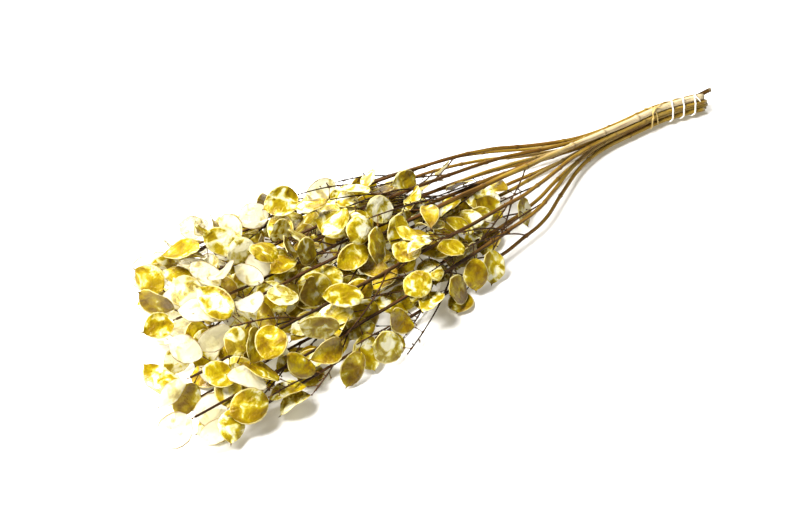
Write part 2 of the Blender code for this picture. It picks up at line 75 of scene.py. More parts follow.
# Where each stem aims at TIP_DISTANCE (across, up), its length, radius at the cut end, bow
# upwards, how far its cut end stands back, where its first side twig leaves, and its twigs.
STEMS = (
    (96.0, 12.0, 618.0, 2.2, 0.0, 3.0, 316.0, 3),
    (86.0, 30.0, 636.0, 2.3, 3.0, 5.0, 306.0, 4),
    (62.0, 44.0, 622.0, 2.3, 5.0, 1.0, 340.0, 4),
    (50.0, 13.0, 640.0, 2.1, 0.0, 6.0, 322.0, 3),
    (14.0, 54.0, 640.0, 2.3, 5.0, -9.0, 330.0, 4),
    (18.0, 36.0, 664.0, 2.2, 2.0, 2.0, 300.0, 4),
    (-16.0, 48.0, 668.0, 2.3, 4.0, 4.0, 284.0, 5),
    (2.0, 12.0, 650.0, 2.2, 0.0, 0.0, 340.0, 3),
    (-42.0, 56.0, 620.0, 3.4, 8.0, 8.0, 262.0, 5),
    (-30.0, 20.0, 664.0, 2.2, 2.0, 3.0, 292.0, 4),
    (-84.0, 48.0, 690.0, 2.3, 6.0, 5.0, 262.0, 6),
    (-78.0, 14.0, 696.0, 2.2, 0.0, 1.0, 276.0, 5),
    (-110.0, 32.0, 702.0, 2.3, 2.0, 2.0, 266.0, 6),
    (-120.0, 14.0, 672.0, 2.2, 0.0, 7.0, 300.0, 6),
)

TWIG_ROOT_RING = 3.0  # where a twig's rough root begins, and the spacing of its rings
TWIG_FIRST_RING = 9.0
LAST_RING_BACK = 3.0  # from the last ring of a line to its end
TWIG_ROOM = 62.0  # no side twig leaves a stalk nearer its tip than this
TWIG_SPREAD = (21.0, 33.0)  # degrees between a stalk and the line to its twig's end
TWIG_STEEPNESS = 1.7  # how much wider a twig leaves than it ends
TWIG_BEND_AT = 0.38
TWIG_SLACK = 1.04  # a twig's length against the straight line between its ends
TWIG_LENGTHS = (0.85, 1.1)
TWIG_LOOSE = 0.7  # how far along its stretch of stalk a twig may start
TWIG_SHARE = 0.6  # most of its stalk's radius that a twig has
TWIG_SAG = 8.0
TWIG_FLOOR = 1.0  # lowest height of a twig
TWIG_LONG = 118.0
TWIG_SHORT = 64.0
TWIG_RADIUS = 0.85
TWIG_END_RADIUS = 0.6
TIP_RADIUS = 0.95
TAPER_POWER = 1.15

POD_LENGTH = 34.0
POD_WIDTH = 29.0
POD_THICKNESS = 1.0
POD_ROUNDNESS = 2.3
POD_STALK = (8.0, 13.0)
POD_STALK_RADIUS = 0.5
POD_STYLE = 2.5  # the small point left by the flower at a pod's tip
POD_SIZES = (0.86, 1.13)
POD_LENGTHS = (0.93, 1.05)
POD_WIDTHS = (0.93, 1.07)
POD_CUP = 3.8  # most that a pod's long edges rise off its middle
POD_BOW = 2.4  # most that its middle rises off its two ends
POD_TWIST = 5.0
POD_DROOP = 0.35
POD_LEAN = 0.4
POD_SPREAD = (42.0, 74.0)  # degrees between a twig and a pod's stalk
POD_FACING = (-0.3, -0.45, 0.84)
POD_ROLL = 1.1  # from the first roll tried for a pod to the second; the one facing this way stays
POD_SPACING = 14.0
LAST_POD_BACK = 12.0  # from a stalk's tip to its nearest side pod
TWIG_POD_BACK = 9.0
TWIG_BARE = 24.0  # the first stretch of a twig, which has no pods
PODS_ON_LEADER = 5
PODS_ON_TWIG = 5
END_POD_BACK = 6.0  # from a line's end to the root of the pod that ends it
POD_TRIES = 140
TWIG_LOOSER = (0.3, 2.8)  # how far a twig may turn from its place, at first and with more tries
POD_LOOSER = (0.5, 2.6)
TWIG_SHORTER = 0.35  # how much shorter it is tried at last
CLEARANCE = 0.46
ROOT_CLEAR = 0.5  # the share of it that a root keeps
STALK_CLEAR = 0.7
FLOOR_SHARE = 0.4
ROOT_FREE = 4.5  # the part of a pod's stalk that may come near the twig it grows from
END_FREE = 5.0  # the part of a twig's end that may come near its last pod
SKIN_SIDES = 4
SKIN_ROWS = (0.02, 0.15, 0.35, 0.65, 0.86, 0.99)  # along a pod, where its rough skin has rings
SKIN_EDGE = 0.6
SKIN_TIP = 0.2
STALK_SPANS = 8  # the stretches in which a stalk is added to the crowd
STALK_STEP = 25.0
TWIG_STEP = 9.0
GOLDEN_TURN = radians(137.5)  # the turn from one side shoot to the next round a stalk

STRING_RADIUS = 0.9
STRING_TURNS = 2.7
STRING_START = 2.2  # the turn at which its first end lies
STRING_FROM = 20.0
STRING_TO = 60.0
TIE_GAP = 0.6  # clear space between the ties and the stems
STRAW_AT = 72.0
STRAW_ASKEW = 3.0
STRAW_WIDTH = 1.8
STRAW_THICKNESS = 0.7
STRAW_STEPS = 20

# The room the bunch takes up: X, how far it reaches to -Y and +Y, height.
ROOM = (
    (230.0, 20.0, 14.0, 32.0),
    (165.0, 36.0, 32.0, 42.0),
    (119.0, 62.0, 42.0, 50.0),
    (73.0, 78.0, 46.0, 54.0),
    (28.0, 94.0, 54.0, 58.0),
    (-6.0, 108.0, 66.0, 66.0),
    (-86.0, 130.0, 90.0, 78.0),
    (-150.0, 130.0, 86.0, 84.0),
    (-200.0, 130.0, 116.0, 84.0),
    (-240.0, 132.0, 114.0, 80.0),
    (-275.0, 134.0, 94.0, 74.0),
    (-345.0, 136.0, 70.0, 62.0),
)
ROOM_EDGE = 1.08
# Gaps between the three groups of tips: X where one starts, Y of its middle, how it widens.
GAPS = ((-205.0, 42.0, 0.2), (-255.0, -52.0, 0.25))

UP = Vector((0.0, 0.0, 1.0))
ALONG = Vector((1.0, 0.0, 0.0))

# What is finer here than in the model.
LOOKS_SEED = 7
FLOOR_CLEAR = 0.15  # lowest height of any surface
MARK_SCALE = 0.01  # a stalk's length in the marks that its finish reads
STALK_MARK = 3.7  # how far the marks of one stalk, twig or pod stalk lie from the next one's
TWIG_MARK = 5.3
POD_STALK_MARK = 1.9

STALK_SIDES = 12
STALK_GAP = 6.0  # spacing of a stalk's rings, with more round each knot
STALK_FULL = 1.1  # the stems touch, where the model's stand a little apart
STALK_RIBS = 5
RIB_DEPTH = 0.035
KNOT_RINGS = (-3.0, -1.5, -0.5, 0.5, 1.5, 3.0)
KNOT_SPREAD = 1.7
STALK_KNOT = 0.26
TWIG_KNOT = 0.55
RING_ROOM = 0.3  # no ring lies nearer an end's than this
SCAR_SPACING = (42.0, 74.0)  # between the old leaf scars on a stalk
SCARS_FROM = 84.0
SCAR_ROOM = 15.0  # no scar lies nearer the first side twig than this
SWAY = 0.3  # how far a stalk wanders off its smooth line
SWAY_LENGTHS = (61.0, 37.0)
CUT_SLOPE = 0.45
# The rings of a cut end, from its pith outwards: share of the radius, depth, mark of the cut.
CUT_RINGS = ((0.32, 0.9, 1.0), (0.4, 0.0, 0.85), (0.92, -0.05, 0.5), (1.0, 0.35, 0.1))
TWIG_SIDES = 8
TWIG_GAP = 5.0
TWIG_START = 0.5
TWIG_UNEVEN = 0.06
ROOT_FLARE = 0.7
FLARE_LENGTH = 3.0
# How dark the wood is, from 0, bleached tan, to 1, nearly black. The dark towards the pods
# is in part the wood's own colour and in part painted shade among the pods.
BUTT_SHADE = 0.14
BUTT_SHADES = (-0.12, 0.36)
THICK_BUTT = 3.0  # a stalk thicker than this is paler
THICK_PALER = 0.2
LEADER_SHADE = 0.92
DARKENS_FROM = 110.0  # distance at which a stalk begins to darken, and over what length
DARKENS_OVER = 370.0
LONG_END = 60.0  # the long cut end is darker up to here
LONG_END_DARKER = 0.3
TWIG_SHADE = 0.84
TWIG_SHADES = (-0.08, 0.06)
TWIG_DARKENS = (0.14, 40.0)  # how much, and over what length
POD_STALK_SHADES = (0.72, 1.0)

POD_STALK_SHARES = (0.0, 0.25, 0.5, 0.74, 0.88, 0.95, 1.0)
POD_STALK_SIZES = (0.62, 0.42, 0.36, 0.40, 0.74, 0.80, 0.5)
POD_STALK_SIDES = 6
POD_STALK_BEND = 0.7
SPURS = 6  # bare little stalks on each twig, whose pods have dropped
SPUR_LENGTH = (2.5, 7.0)
SPUR_ENDS = (18.0, 8.0)  # how far from its twig's root and end they stay
SPUR_LEAN = (0.5, 0.86)  # along the twig, out of it
# Round a pod from one edge over its face and back under: share across, height off its middle.
POD_FACE = ((1.0, 0.0), (0.93, 0.36), (0.5, 0.16), (-0.5, 0.16), (-0.93, 0.36))
POD_ROUND = POD_FACE + tuple((-across, -height) for across, height in POD_FACE)
POD_ROWS = 9
POD_ROW_TURNS = (0.07, 0.945)  # where its first and last rows lie, as shares of a half turn
POD_THINS = 1.6  # its thickness is this many times its outline, up to the full one
STYLE_ROWS = ((1.0, 0.55), (1.7, 0.3), (2.5, 0.2))  # distance past the pod's end, radius
POD_POINTED = (0.56, 1.0)  # the power of a pod's outline towards its tip
POD_TAPERED = (0.5, 0.78)  # and towards its stalk
POD_NARROWED = (0.8, 1.02)
POD_RIPPLE = 0.8
POD_WAVES = (1.4, 2.6)  # ripples along an edge
RIPPLE_SLANT = 1.5
POD_CURL = 3.2  # most that a pod's edges curl up or down
CURL_AT_STALK = 0.3
POD_HOOK = 3.5  # most that its tip does
FOLDED_PODS = 0.22  # the share of pods that are folded along their middle
POD_FOLD = (3.5, 6.5)
FOLD_SOFTNESS = 0.01
FOLD_NARROWS = 0.22
# A pod's paleness: bleaching, and in the pale pods, which lie towards the lamps, painted highlight
# too.
BLEACH_AND_LIGHT = ((0.26, 0.16), (0.84, 0.11))  # middle and spread, in golden pods and in pale ones
PALE_SHARE = 0.64  # the share of pale pods at the tips
PALE_FROM = -130.0  # X at which they begin, on the middle line
PALE_ASIDE = 0.8  # how much sooner they begin for each step towards +Y
PALE_LENGTH = 160.0  # length over which their share grows

BUNDLE_MIDDLE = (-5.0, 11.0)  # Y and height of the middle of the tied bundle
CORNER = 1.2  # length over which a string's or straw's corners are rounded
STRING_STEPS = 90  # for each turn
STRING_OFF = 0.6  # the share of TIE_GAP that it keeps from the stems
STRING_PITCH = 3.4
STRING_GAP = 0.4
STRING_SIDES = 10
STRING_LOBES = (0.76, 0.24)
STRING_FULL = 1.08
STRING_CLOSES = 0.5  # it narrows to half at its ends, over half this length
STRING_MARK = 0.1
KNOT_GAP = 0.3
KNOT_SIZE = 0.62
KNOT_OFF = 0.7
KNOT_TURN = 0.97  # the share of its curve that the knot takes
KNOT_STEPS = 60
KNOT_FULL = 0.9
KNOT_ENDS = ((-0.8, 0.5, 9.0), (0.5, -0.9, 7.0))  # across the string, along it, length
END_STEPS = 24
END_FULL = 0.85
END_LIFT = (1.2, 1.3, 2.6, 1.6)  # height, that of the wave along it, its turn, fall at the end
STRAW_TURNS = 96
STRAW_WINDOW = 5  # points over which the band's corners are rounded
STRAW_SIDES = 16
STRAW_RIBS = (0.25, 5.0)  # depth and number
STRAND_STEPS = 30
STRAND_GAP = 0.6
STRAND_SIDES = 10
STRAND_ENDS = (9.0, 0.3)  # how fast a strand widens from its ends, and its share there
STRAND_MARK = 3.0
# The straw's knot and loose strands: distances and turns of both ends, width, thickness, height.
STRAW_STRANDS = (
    (72.0, 86.0, 1.75, 3.4, 2.2, 0.8, 1.9),
    (73.5, 70.5, 1.6, 2.05, 3.0, 2.0, 1.9),
    (71.5, 61.0, 1.8, 1.35, 1.3, 0.6, 2.2),
    (72.0, 64.0, 1.9, 2.5, 1.3, 0.6, 2.2),
)

# Colours by share, from dark to pale in the pods, the string and the straw. In a stalk they go
# from pale to dark, and in a cut end from the bark to the pith.
# The pods' cream stops are in part painted highlight.
POD_COLOURS = (
    (0.00, (0.210, 0.115, 0.001)),
    (0.18, (0.290, 0.180, 0.001)),
    (0.38, (0.390, 0.270, 0.001)),
    (0.52, (0.480, 0.365, 0.004)),
    (0.63, (0.730, 0.665, 0.200)),
    (0.76, (0.910, 0.885, 0.680)),
)
# A stalk's dark stops are in part painted shade among the pods.
STALK_COLOURS = (
    (0.00, (0.600, 0.490, 0.290)),
    (0.20, (0.430, 0.310, 0.120)),
    (0.40, (0.330, 0.215, 0.026)),
    (0.58, (0.200, 0.105, 0.008)),
    (0.76, (0.070, 0.030, 0.003)),
    (0.95, (0.007, 0.003, 0.002)),
)
CUT_COLOURS = (
    (0.10, (0.30, 0.25, 0.16)),
    (0.45, (0.52, 0.46, 0.32)),
    (0.80, (0.44, 0.37, 0.24)),
    (0.95, (0.10, 0.07, 0.04)),
)
# The string's dark stop is painted shade in the grooves between its strands.
STRING_COLOURS = (
    (0.15, (0.52, 0.46, 0.34)),
    (0.45, (0.80, 0.77, 0.68)),
    (0.75, (0.92, 0.90, 0.84)),
)
STRAW_COLOURS = (
    (0.28, (0.20, 0.12, 0.03)),
    (0.45, (0.50, 0.34, 0.09)),
    (0.62, (0.72, 0.55, 0.20)),
    (0.80, (0.84, 0.72, 0.38)),
)
# What a pod's blotches, broad and fine patches, bleaching and its own draw add to its share.
# The cream that a high share brings is in part painted highlight.
MOTTLES_AND_SHEEN = (1.75, 0.75, 0.3, 0.75, 0.16)
MOTTLES_AND_SHEEN_START = -1.24
CREAM = (0.95, 0.92, 0.80, 1.0)
SPECK = (0.14, 0.07, 0.004, 1.0)
SEED_PRINT = (0.32, 0.21, 0.006, 1.0)
GOLD_EDGE = (0.90, 0.80, 0.34, 1.0)
BROWN_EDGE = (0.33, 0.22, 0.07, 1.0)
DARK_POINT = (0.12, 0.06, 0.012, 1.0)
GOLD_GLOSS = (1.0, 0.86, 0.50, 1.0)
RED_FLUSH = (0.120, 0.042, 0.012, 1.0)
SCAR_BROWN = (0.060, 0.028, 0.010, 1.0)
CUT_RING = (0.20, 0.16, 0.09, 1.0)
BARK_GLOSS = (1.0, 0.72, 0.40, 1.0)
SOIL = (0.6, 0.5, 0.33, 1.0)
PALE_CLEAR = 0.5  # how clear the pale pods are

# The camera stands on a line through the spot of the bunch that the picture shows at SEEN.
VIEW_TURN = -37.0
VIEW_RISE = 40.0
VIEW_DISTANCE = 1.11
LENS = 50.0
SENSOR = 36.0
PICTURE = (800.0, 532.0)  # the photograph's width and height in pixels
SEEN = (418.0, 233.0)  # the pixel at which the layout's middle shows

FLOOR_HALF = 4.0
FLOOR_GREYS = ((0.66, 0.66, 0.665, 1.0), (0.69, 0.69, 0.69, 1.0))
FLOOR_GLOW = (1.0, 0.90, 0.66, 1.0)
FLOOR_GLOW_STRENGTH = 0.24
ROOM_LIGHT = 0.2
# Name, place, aim, width in metres, power in watts, colour.
LAMPS = (
    ("key_lamp", (-0.78, 0.22, 1.25), (-0.15, 0.0, 0.0), 0.75, 74.0, (1.0, 0.99, 0.97)),
    ("rear_lamp", (0.5, 1.3, 1.2), (0.05, 0.0, 0.0), 1.0, 30.0, (1.0, 1.0, 1.0)),
)


def smooth(x):
    """0 below 0, 1 above 1, and an even S between."""
    x = min(max(x, 0.0), 1.0)
    return x * x * (3.0 - 2.0 * x)


def between(table, x):
    """The rest of the table's row at x, straight between its rows."""
    if x >= table[0][0]:
        return table[0][1:]
    for first, second in zip(table, table[1:]):
        if x >= second[0]:
            share = (first[0] - x) / (first[0] - second[0])
            return tuple(a + (b - a) * share for a, b in zip(first[1:], second[1:]))
    return table[-1][1:]


def in_room(point):
    """True if the point lies in the dome that the bunch fills."""
    near, far, height = between(ROOM, point.x)
    half = near if point.y < 0.0 else far
    in_gap = any(abs(point.y - middle) < (start - point.x) * wide for start, middle, wide in GAPS)
    return not in_gap and (point.y / half) ** 2 + (point.z / height) ** 2 < ROOM_EDGE


def fan_share(distance):
    """How far the stems have opened at a distance from the cut ends."""
    past = max(distance - NECK, 0.0)
    return (1.0 - exp(-past / FAN_LENGTH)) * smooth(past / FAN_START)


def packed_places():
    """Circles pulled to one middle and pushed apart until they just miss each other."""
    radii = [row[3] for row in STEMS]
    middle = sum(row[1] for row in STEMS) / len(STEMS)
    places = [
        Vector((row[0] * PACK_SPREAD[0], (row[1] + row[4] - middle) * PACK_SPREAD[1]))
        for row in STEMS
    ]
    for step in range(PACK_ROUNDS):
        if step < PULL_ROUNDS:
            places = [place * PULL for place in places]
        for i, first in enumerate(places):
            for j in range(i):
                apart = first - places[j]
                need = radii[i] + radii[j] + STEM_GAP
                if apart.length < need:
                    push = apart.normalized() * (need - apart.length) * 0.5
                    first += push
                    places[j] -= push
    low = min(place.y - radius for place, radius in zip(places, radii))
    return [Vector((place.x, place.y - low + BUNDLE_LIFT)) for place in places]


class Stalk:
    """The main stalk of one stem, as a curve with a radius."""

    def __init__(self, row, place):
        self.aim = Vector(row[:2])
        self.length, self.butt, self.bow_up, self.cut, self.first_twig, self.twigs = row[2:]
        self.place = place

    def point(self, distance):
        """X falls with the distance. Across and up, it goes from the stalk's place in the bundle
        to its aim by the fan's share, plus half a sine's bow and a bend at the cut end."""
        share = fan_share(distance) / fan_share(TIP_DISTANCE)
        across, height = self.place.lerp(self.aim, share)
        run = (distance - NECK) / (self.length - NECK)
        bow = sin(pi * min(max(run, 0.0), 1.0))
        bend = max(BEND_LENGTH - distance, 0.0) / BEND_LENGTH
        apart = smooth((LEAN_START - distance) / LEAN_LENGTH) if self.cut < 0.0 else 0.0
        return Vector((
            BUTT_X - distance,
            across - BEND_ASIDE * bend ** BEND_POWER + END_APART[0] * apart,
            height + self.bow_up * bow + END_APART[1] * apart,
        ))

    def heading(self, distance):
        return (self.point(distance + 2.0) - self.point(distance - 2.0)).normalized()

    def radius(self, distance):
        """From the cut end's to the tip's by a power of the share of the length."""
        run = min(max(distance / self.length, 0.0), 1.0)
        return self.butt + (TIP_RADIUS - self.butt) * run ** TAPER_POWER


class Twig:
    """A side twig: a bent line that leaves its stalk steeply and turns along it."""

    def __init__(self, start, first, end, radius):
        self.start, self.bend, self.end = start, first, end
        self.root_radius = radius
        self.length = (end - start).length * TWIG_SLACK

    def point(self, distance):
        """start (1 - u)^2 + bend 2 u (1 - u) + end u^2, with u along the twig."""
        u = distance / self.length
        return (
            self.start * (1.0 - u) ** 2
            + self.bend * (2.0 * u * (1.0 - u))
            + self.end * u * u
        )

    def heading(self, distance):
        return (self.point(distance + 1.0) - self.point(distance - 1.0)).normalized()

    def radius(self, distance):
        """From the root's to the end's, evenly."""
        run = min(max(distance / self.length, 0.0), 1.0)
        return self.root_radius + (TWIG_END_RADIUS - self.root_radius) * run


class Pod:
    """A flat seed pod at the end of its short stalk."""

    def __init__(self, root, base, axis, across, length, width, cup, bow, twist):
        self.root, self.base, self.axis, self.across = root, base, axis, across
        self.face = axis.cross(across)
        self.length, self.width = length, width
        self.cup, self.bow, self.twist = cup, bow, twist

    def half_width(self, u):
        """width / 2 times the root of 1 - |2u - 1|^roundness."""
        return 0.5 * self.width * sqrt(max(1.0 - abs(2.0 * u - 1.0) ** POD_ROUNDNESS, 0.0))

    def place(self, u, v, off=0.0):
        """The point at u along the pod, v across it from -1 to 1, and off its face."""
        half = self.half_width(u)
        spread = half / (0.5 * self.width)
        raised = (
            self.cup * (v * spread) ** 2
            + self.bow * 4.0 * u * (1.0 - u)
            + self.twist * v * spread * (u - 0.5)
        )
        return (
            self.base
            + self.axis * (u * self.length)
            + self.across * (v * half)
            + self.face * (raised + off)
        )

    def ring(self, u, sides, thickness, grow=0.0):
        """A flat lens-shaped ring of points round the pod at u."""
        points = []
        for k in range(sides):
            turn = tau * k / sides
            point = self.place(u, cos(turn), 0.5 * thickness * sin(turn))
            points.append(point + self.across * (grow * cos(turn)))
        return points

    def tip(self):
        """The end of the fine point."""
        return self.place(1.0, 0.0) + self.axis * POD_STYLE

    def small_ring(self, middle, radius, sides):
        """A round ring of points square to the pod's length."""
        return [
            middle
            + self.across * (radius * cos(tau * k / sides))
            + self.face * (radius * sin(tau * k / sides))
            for k in range(sides)
        ]


def cross_frame(heading):
    """Two directions square to a heading and to each other."""
    other = ALONG if abs(heading.z) > 0.9 else UP
    side = heading.cross(other).normalized()
    return side, side.cross(heading).normalized()


def round_ring(middle, heading, radius, sides):
    """A ring of points round a middle, turning counter-clockwise about the heading."""
    side, up = cross_frame(heading)
    return [
        middle + side * (radius * cos(tau * k / sides)) - up * (radius * sin(tau * k / sides))
        for k in range(sides)
    ]


def loft(rings):
    """Points and faces of the closed skin over a row of equal rings."""
    sides = len(rings[0])
    points = [point for ring in rings for point in ring]
    faces = [tuple(reversed(range(sides)))]
    for level in range(len(rings) - 1):
        low = level * sides
        for k in range(sides):
            after = (k + 1) % sides
            faces.append((low + k, low + after, low + sides + after, low + sides + k))
    faces.append(tuple(range(len(points) - sides, len(points))))
    return points, faces


class Crowd:
    """Everything placed so far, each skin with its box for a quick first look."""

    def __init__(self):
        self.items = []

    def add(self, skin, owner):
        """Notes a skin and whose it is."""
        self.items.append((box_of(skin[0]), BVHTree.FromPolygons(*skin), owner))

    def is_clear(self, points, faces, spared=None):
        """True if the skin meets nothing, but for what the spared owner put there."""
        box = box_of(points)
        near = [
            tree
            for other, tree, owner in self.items
            if owner is not spared and boxes_meet(box, other)
        ]
        if not near:
            return True
        skin = BVHTree.FromPolygons(points, faces)
        return not any(skin.overlap(tree) for tree in near)


def box_of(points):
    """The lowest and the highest corner round some points."""
    return (
        [min(point[axis] for point in points) for axis in range(3)],
        [max(point[axis] for point in points) for axis in range(3)],
    )


def boxes_meet(first, second):
    """True if two boxes overlap along all three axes."""
    return all(
        first[0][axis] <= second[1][axis] and second[0][axis] <= first[1][axis]
        for axis in range(3)
    )


def line_skin(line, start, end, step, spare):
    """The skin of a stalk or twig between two distances, grown by the spare room."""
    count = max(int((end - start) / step), 1)
    rings = []
    for k in range(count + 1):
        at = start + (end - start) * k / count
        reach = line.radius(at) + spare
        rings.append(round_ring(line.point(at), line.heading(at), reach, SKIN_SIDES))
    return loft(rings)


def pod_stalk_skin(pod, start, end, spare):
    """The skin of a pod's stalk between two points, grown by the spare room."""
    reach = POD_STALK_RADIUS + spare
    return loft([pod.small_ring(middle, reach, SKIN_SIDES) for middle in (start, end)])


def pod_skin(pod, spare):
    """The skin of a pod and the outer part of its stalk, grown by the spare room."""
    toward = (pod.base - pod.root).normalized()
    skin = pod_stalk_skin(pod, pod.root + toward * ROOT_FREE, pod.base, spare)
    outline = [
        pod.ring(u, SKIN_SIDES, POD_THICKNESS + 2.0 * spare, spare + SKIN_EDGE)
        for u in SKIN_ROWS
    ]
    body = loft(outline + [pod.small_ring(pod.tip(), spare + SKIN_TIP, SKIN_SIDES)])
    shift = len(skin[0])
    return (
        skin[0] + body[0],
        skin[1] + [tuple(index + shift for index in face) for face in body[1]],
    )


def grown_twig(stalk, distance, turn, spread, length, sag):
    """A twig that leaves the stalk at a distance, turned about it and spread from it."""
    heading = stalk.heading(distance)
    side, up = cross_frame(heading)
    out = side * cos(turn) + up * sin(turn)
    start = stalk.point(distance)
    steep = spread * TWIG_STEEPNESS
    first = start + (heading * cos(steep) + out * sin(steep)) * (length * TWIG_BEND_AT)
    end = start + (heading * cos(spread) + out * sin(spread)) * length - UP * sag
    return Twig(start, first, end, min(TWIG_RADIUS, stalk.radius(distance) * TWIG_SHARE))


def grown_pod(line, distance, turn, spread, roll, chance):
    """A pod on a short stalk that leaves a line at a distance."""
    heading = line.heading(distance)
    side, up = cross_frame(heading)
    out = side * cos(turn) + up * sin(turn)
    toward = heading * cos(spread) + out * sin(spread)
    root = line.point(distance)
    base = root + toward * (chance.uniform(*POD_STALK) + line.radius(distance))
    return turned_pod(root, base, toward, roll, chance)


def turned_pod(root, base, toward, roll, chance):
    """A pod at its base, hanging a little and rolled about its own length."""
    axis = (toward - UP * chance.uniform(0.0, POD_DROOP)).normalized()
    side, up = cross_frame(axis)
    across = side * cos(roll) + up * sin(roll)
    other = side * cos(roll + POD_ROLL) + up * sin(roll + POD_ROLL)
    facing = Vector(POD_FACING)
    if abs(axis.cross(other).dot(facing)) > abs(axis.cross(across).dot(facing)):
        across = other
    size = chance.uniform(*POD_SIZES)
    return Pod(
        root,
        base,
        axis,
        across,
        POD_LENGTH * size * chance.uniform(*POD_LENGTHS),
        POD_WIDTH * size * chance.uniform(*POD_WIDTHS),
        chance.uniform(-POD_CUP, POD_CUP),
        chance.uniform(-POD_BOW, POD_BOW),
        chance.uniform(-POD_TWIST, POD_TWIST),
    )


def settled(pod, line, crowd):
    """Adds a pod on a line to the crowd if it is in the room and clear of everything."""
    skin = pod_skin(pod, CLEARANCE)
    if min(point.z for point in skin[0]) < CLEARANCE * FLOOR_SHARE or not in_room(pod.tip()):
        return False
    toward = (pod.base - pod.root).normalized()
    ends = pod.root + toward, pod.root + toward * ROOT_FREE
    root = pod_stalk_skin(pod, *ends, CLEARANCE * ROOT_CLEAR)
    if not crowd.is_clear(*skin) or not crowd.is_clear(*root, spared=line):
        return False
    crowd.add(skin, pod)
    crowd.add(root, line)
    return True


def add_pod(line, distance, turn, crowd, chance):
    """Tries places for a pod near a distance along a line; None if none is free."""
    for attempt in range(POD_TRIES):
        loose = attempt / POD_TRIES
        pod = grown_pod(
            line,
            distance,
            turn + chance.uniform(-1.0, 1.0) * (POD_LOOSER[0] + POD_LOOSER[1] * loose),
            radians(chance.uniform(*POD_SPREAD)),
            chance.uniform(0.0, pi),
            chance,
        )
        if settled(pod, line, crowd):
            return pod
    return None


def add_end_pod(line, crowd, chance):
    """The pod that ends a line."""
    root = line.point(line.length - END_POD_BACK)
    base = line.point(line.length)
    toward = line.heading(line.length)
    for _ in range(POD_TRIES):
        lean = Vector([chance.uniform(-POD_LEAN, POD_LEAN) for _ in range(3)])
        pod = turned_pod(root, base, (toward + lean).normalized(), chance.uniform(0.0, pi), chance)
        if settled(pod, line, crowd):
            return pod
    return None


def add_twig(stalk, distance, turn, length, crowd, chance):
    """Tries places for a side twig; None if none is free."""
    for attempt in range(POD_TRIES):
        loose = attempt / POD_TRIES
        reach = length * (1.0 - TWIG_SHORTER * loose)
        twig = grown_twig(
            stalk,
            distance,
            turn + chance.uniform(-1.0, 1.0) * (TWIG_LOOSER[0] + TWIG_LOOSER[1] * loose),
            radians(chance.uniform(*TWIG_SPREAD)),
            reach,
            chance.uniform(0.0, TWIG_SAG),
        )
        skin = line_skin(twig, TWIG_FIRST_RING, twig.length - END_FREE, TWIG_STEP, CLEARANCE)
        if min(point.z for point in skin[0]) < TWIG_FLOOR or not in_room(twig.end):
            continue
        root = line_skin(
            twig, TWIG_ROOT_RING, TWIG_FIRST_RING, TWIG_ROOT_RING, CLEARANCE * ROOT_CLEAR
        )
        if crowd.is_clear(*skin) and crowd.is_clear(*root, spared=stalk):
            crowd.add(skin, twig)
            crowd.add(root, stalk)
            return twig
    return None


def laid_out_stems():
    """All stalks, twigs and pods, each placed where nothing else is."""
    chance = Random(SEED)
    crowd = Crowd()
    stalks = [Stalk(row, place) for row, place in zip(STEMS, packed_places())]
    for stalk in stalks:
        span = stalk.length - END_FREE - NECK
        for k in range(STALK_SPANS):
            start = NECK + span * k / STALK_SPANS
            end = NECK + span * (k + 1) / STALK_SPANS
            crowd.add(line_skin(stalk, start, end, STALK_STEP, CLEARANCE * STALK_CLEAR), stalk)
    stems = []
    for stalk in stalks:
        turn = chance.uniform(0.0, tau)
        span = stalk.length - TWIG_ROOM - stalk.first_twig
        twigs = []
        for k in range(stalk.twigs):
            share = (k + chance.uniform(0.0, TWIG_LOOSE)) / stalk.twigs
            at = stalk.first_twig + span * share
            reach = TWIG_LONG + (TWIG_SHORT - TWIG_LONG) * share
            reach *= chance.uniform(*TWIG_LENGTHS)
            turn += GOLDEN_TURN
            twig = add_twig(stalk, at, turn, reach, crowd, chance)
            if twig:
                twigs.append((at, twig, []))
        stems.append((stalk, twigs, []))
    for stalk, twigs, own in stems:
        pod = add_end_pod(stalk, crowd, chance)
        if pod:
            own.append((stalk.length, pod))
        for at, twig, pods in twigs:
            pod = add_end_pod(twig, crowd, chance)
            if pod:
                pods.append((twig.length, pod))
    for stalk, twigs, own in stems:
        turn = chance.uniform(0.0, tau)
        for k in range(PODS_ON_LEADER):
            at = stalk.length - LAST_POD_BACK - POD_SPACING * k
            turn += GOLDEN_TURN
            pod = add_pod(stalk, at, turn, crowd, chance)
            if pod:
                own.append((at, pod))
        for at, twig, pods in twigs:
            for k in range(PODS_ON_TWIG):
                place = twig.length - TWIG_POD_BACK - (twig.length - TWIG_BARE) * k / PODS_ON_TWIG
                turn += GOLDEN_TURN
                pod = add_pod(twig, place, turn, crowd, chance)
                if pod:
                    pods.append((place, pod))
    return stems


def hull_point(stalks, distance, turn, off):
    """The point of the bundle's taut outline, off its surface, that faces a turn."""
    way = Vector((0.0, cos(turn), sin(turn)))
    best = max(
        stalks,
        key=lambda stalk: stalk.point(distance).dot(way) + stalk.radius(distance),
    )
    return best.point(distance) + way * (best.radius(distance) + off)


def unit(arrows):
    """Arrows scaled to a length of one."""
    return arrows / np.linalg.norm(arrows, axis=-1, keepdims=True)


def eased(x):
    """The even S of smooth(), for whole arrays."""
    x = np.clip(x, 0.0, 1.0)
    return x * x * (3.0 - 2.0 * x)


def even_turns(count):
    """Even turns round a ring, from 0."""
    return tau * np.arange(count) / count


def frames_along(path):
    """A path's heading, a side square to it (heading crossed with up), and side crossed with it."""
    heading = unit(np.gradient(path, axis=0))
    side = unit(np.cross(heading, (0.0, 0.0, 1.0)))
    return heading, side, np.cross(side, heading)


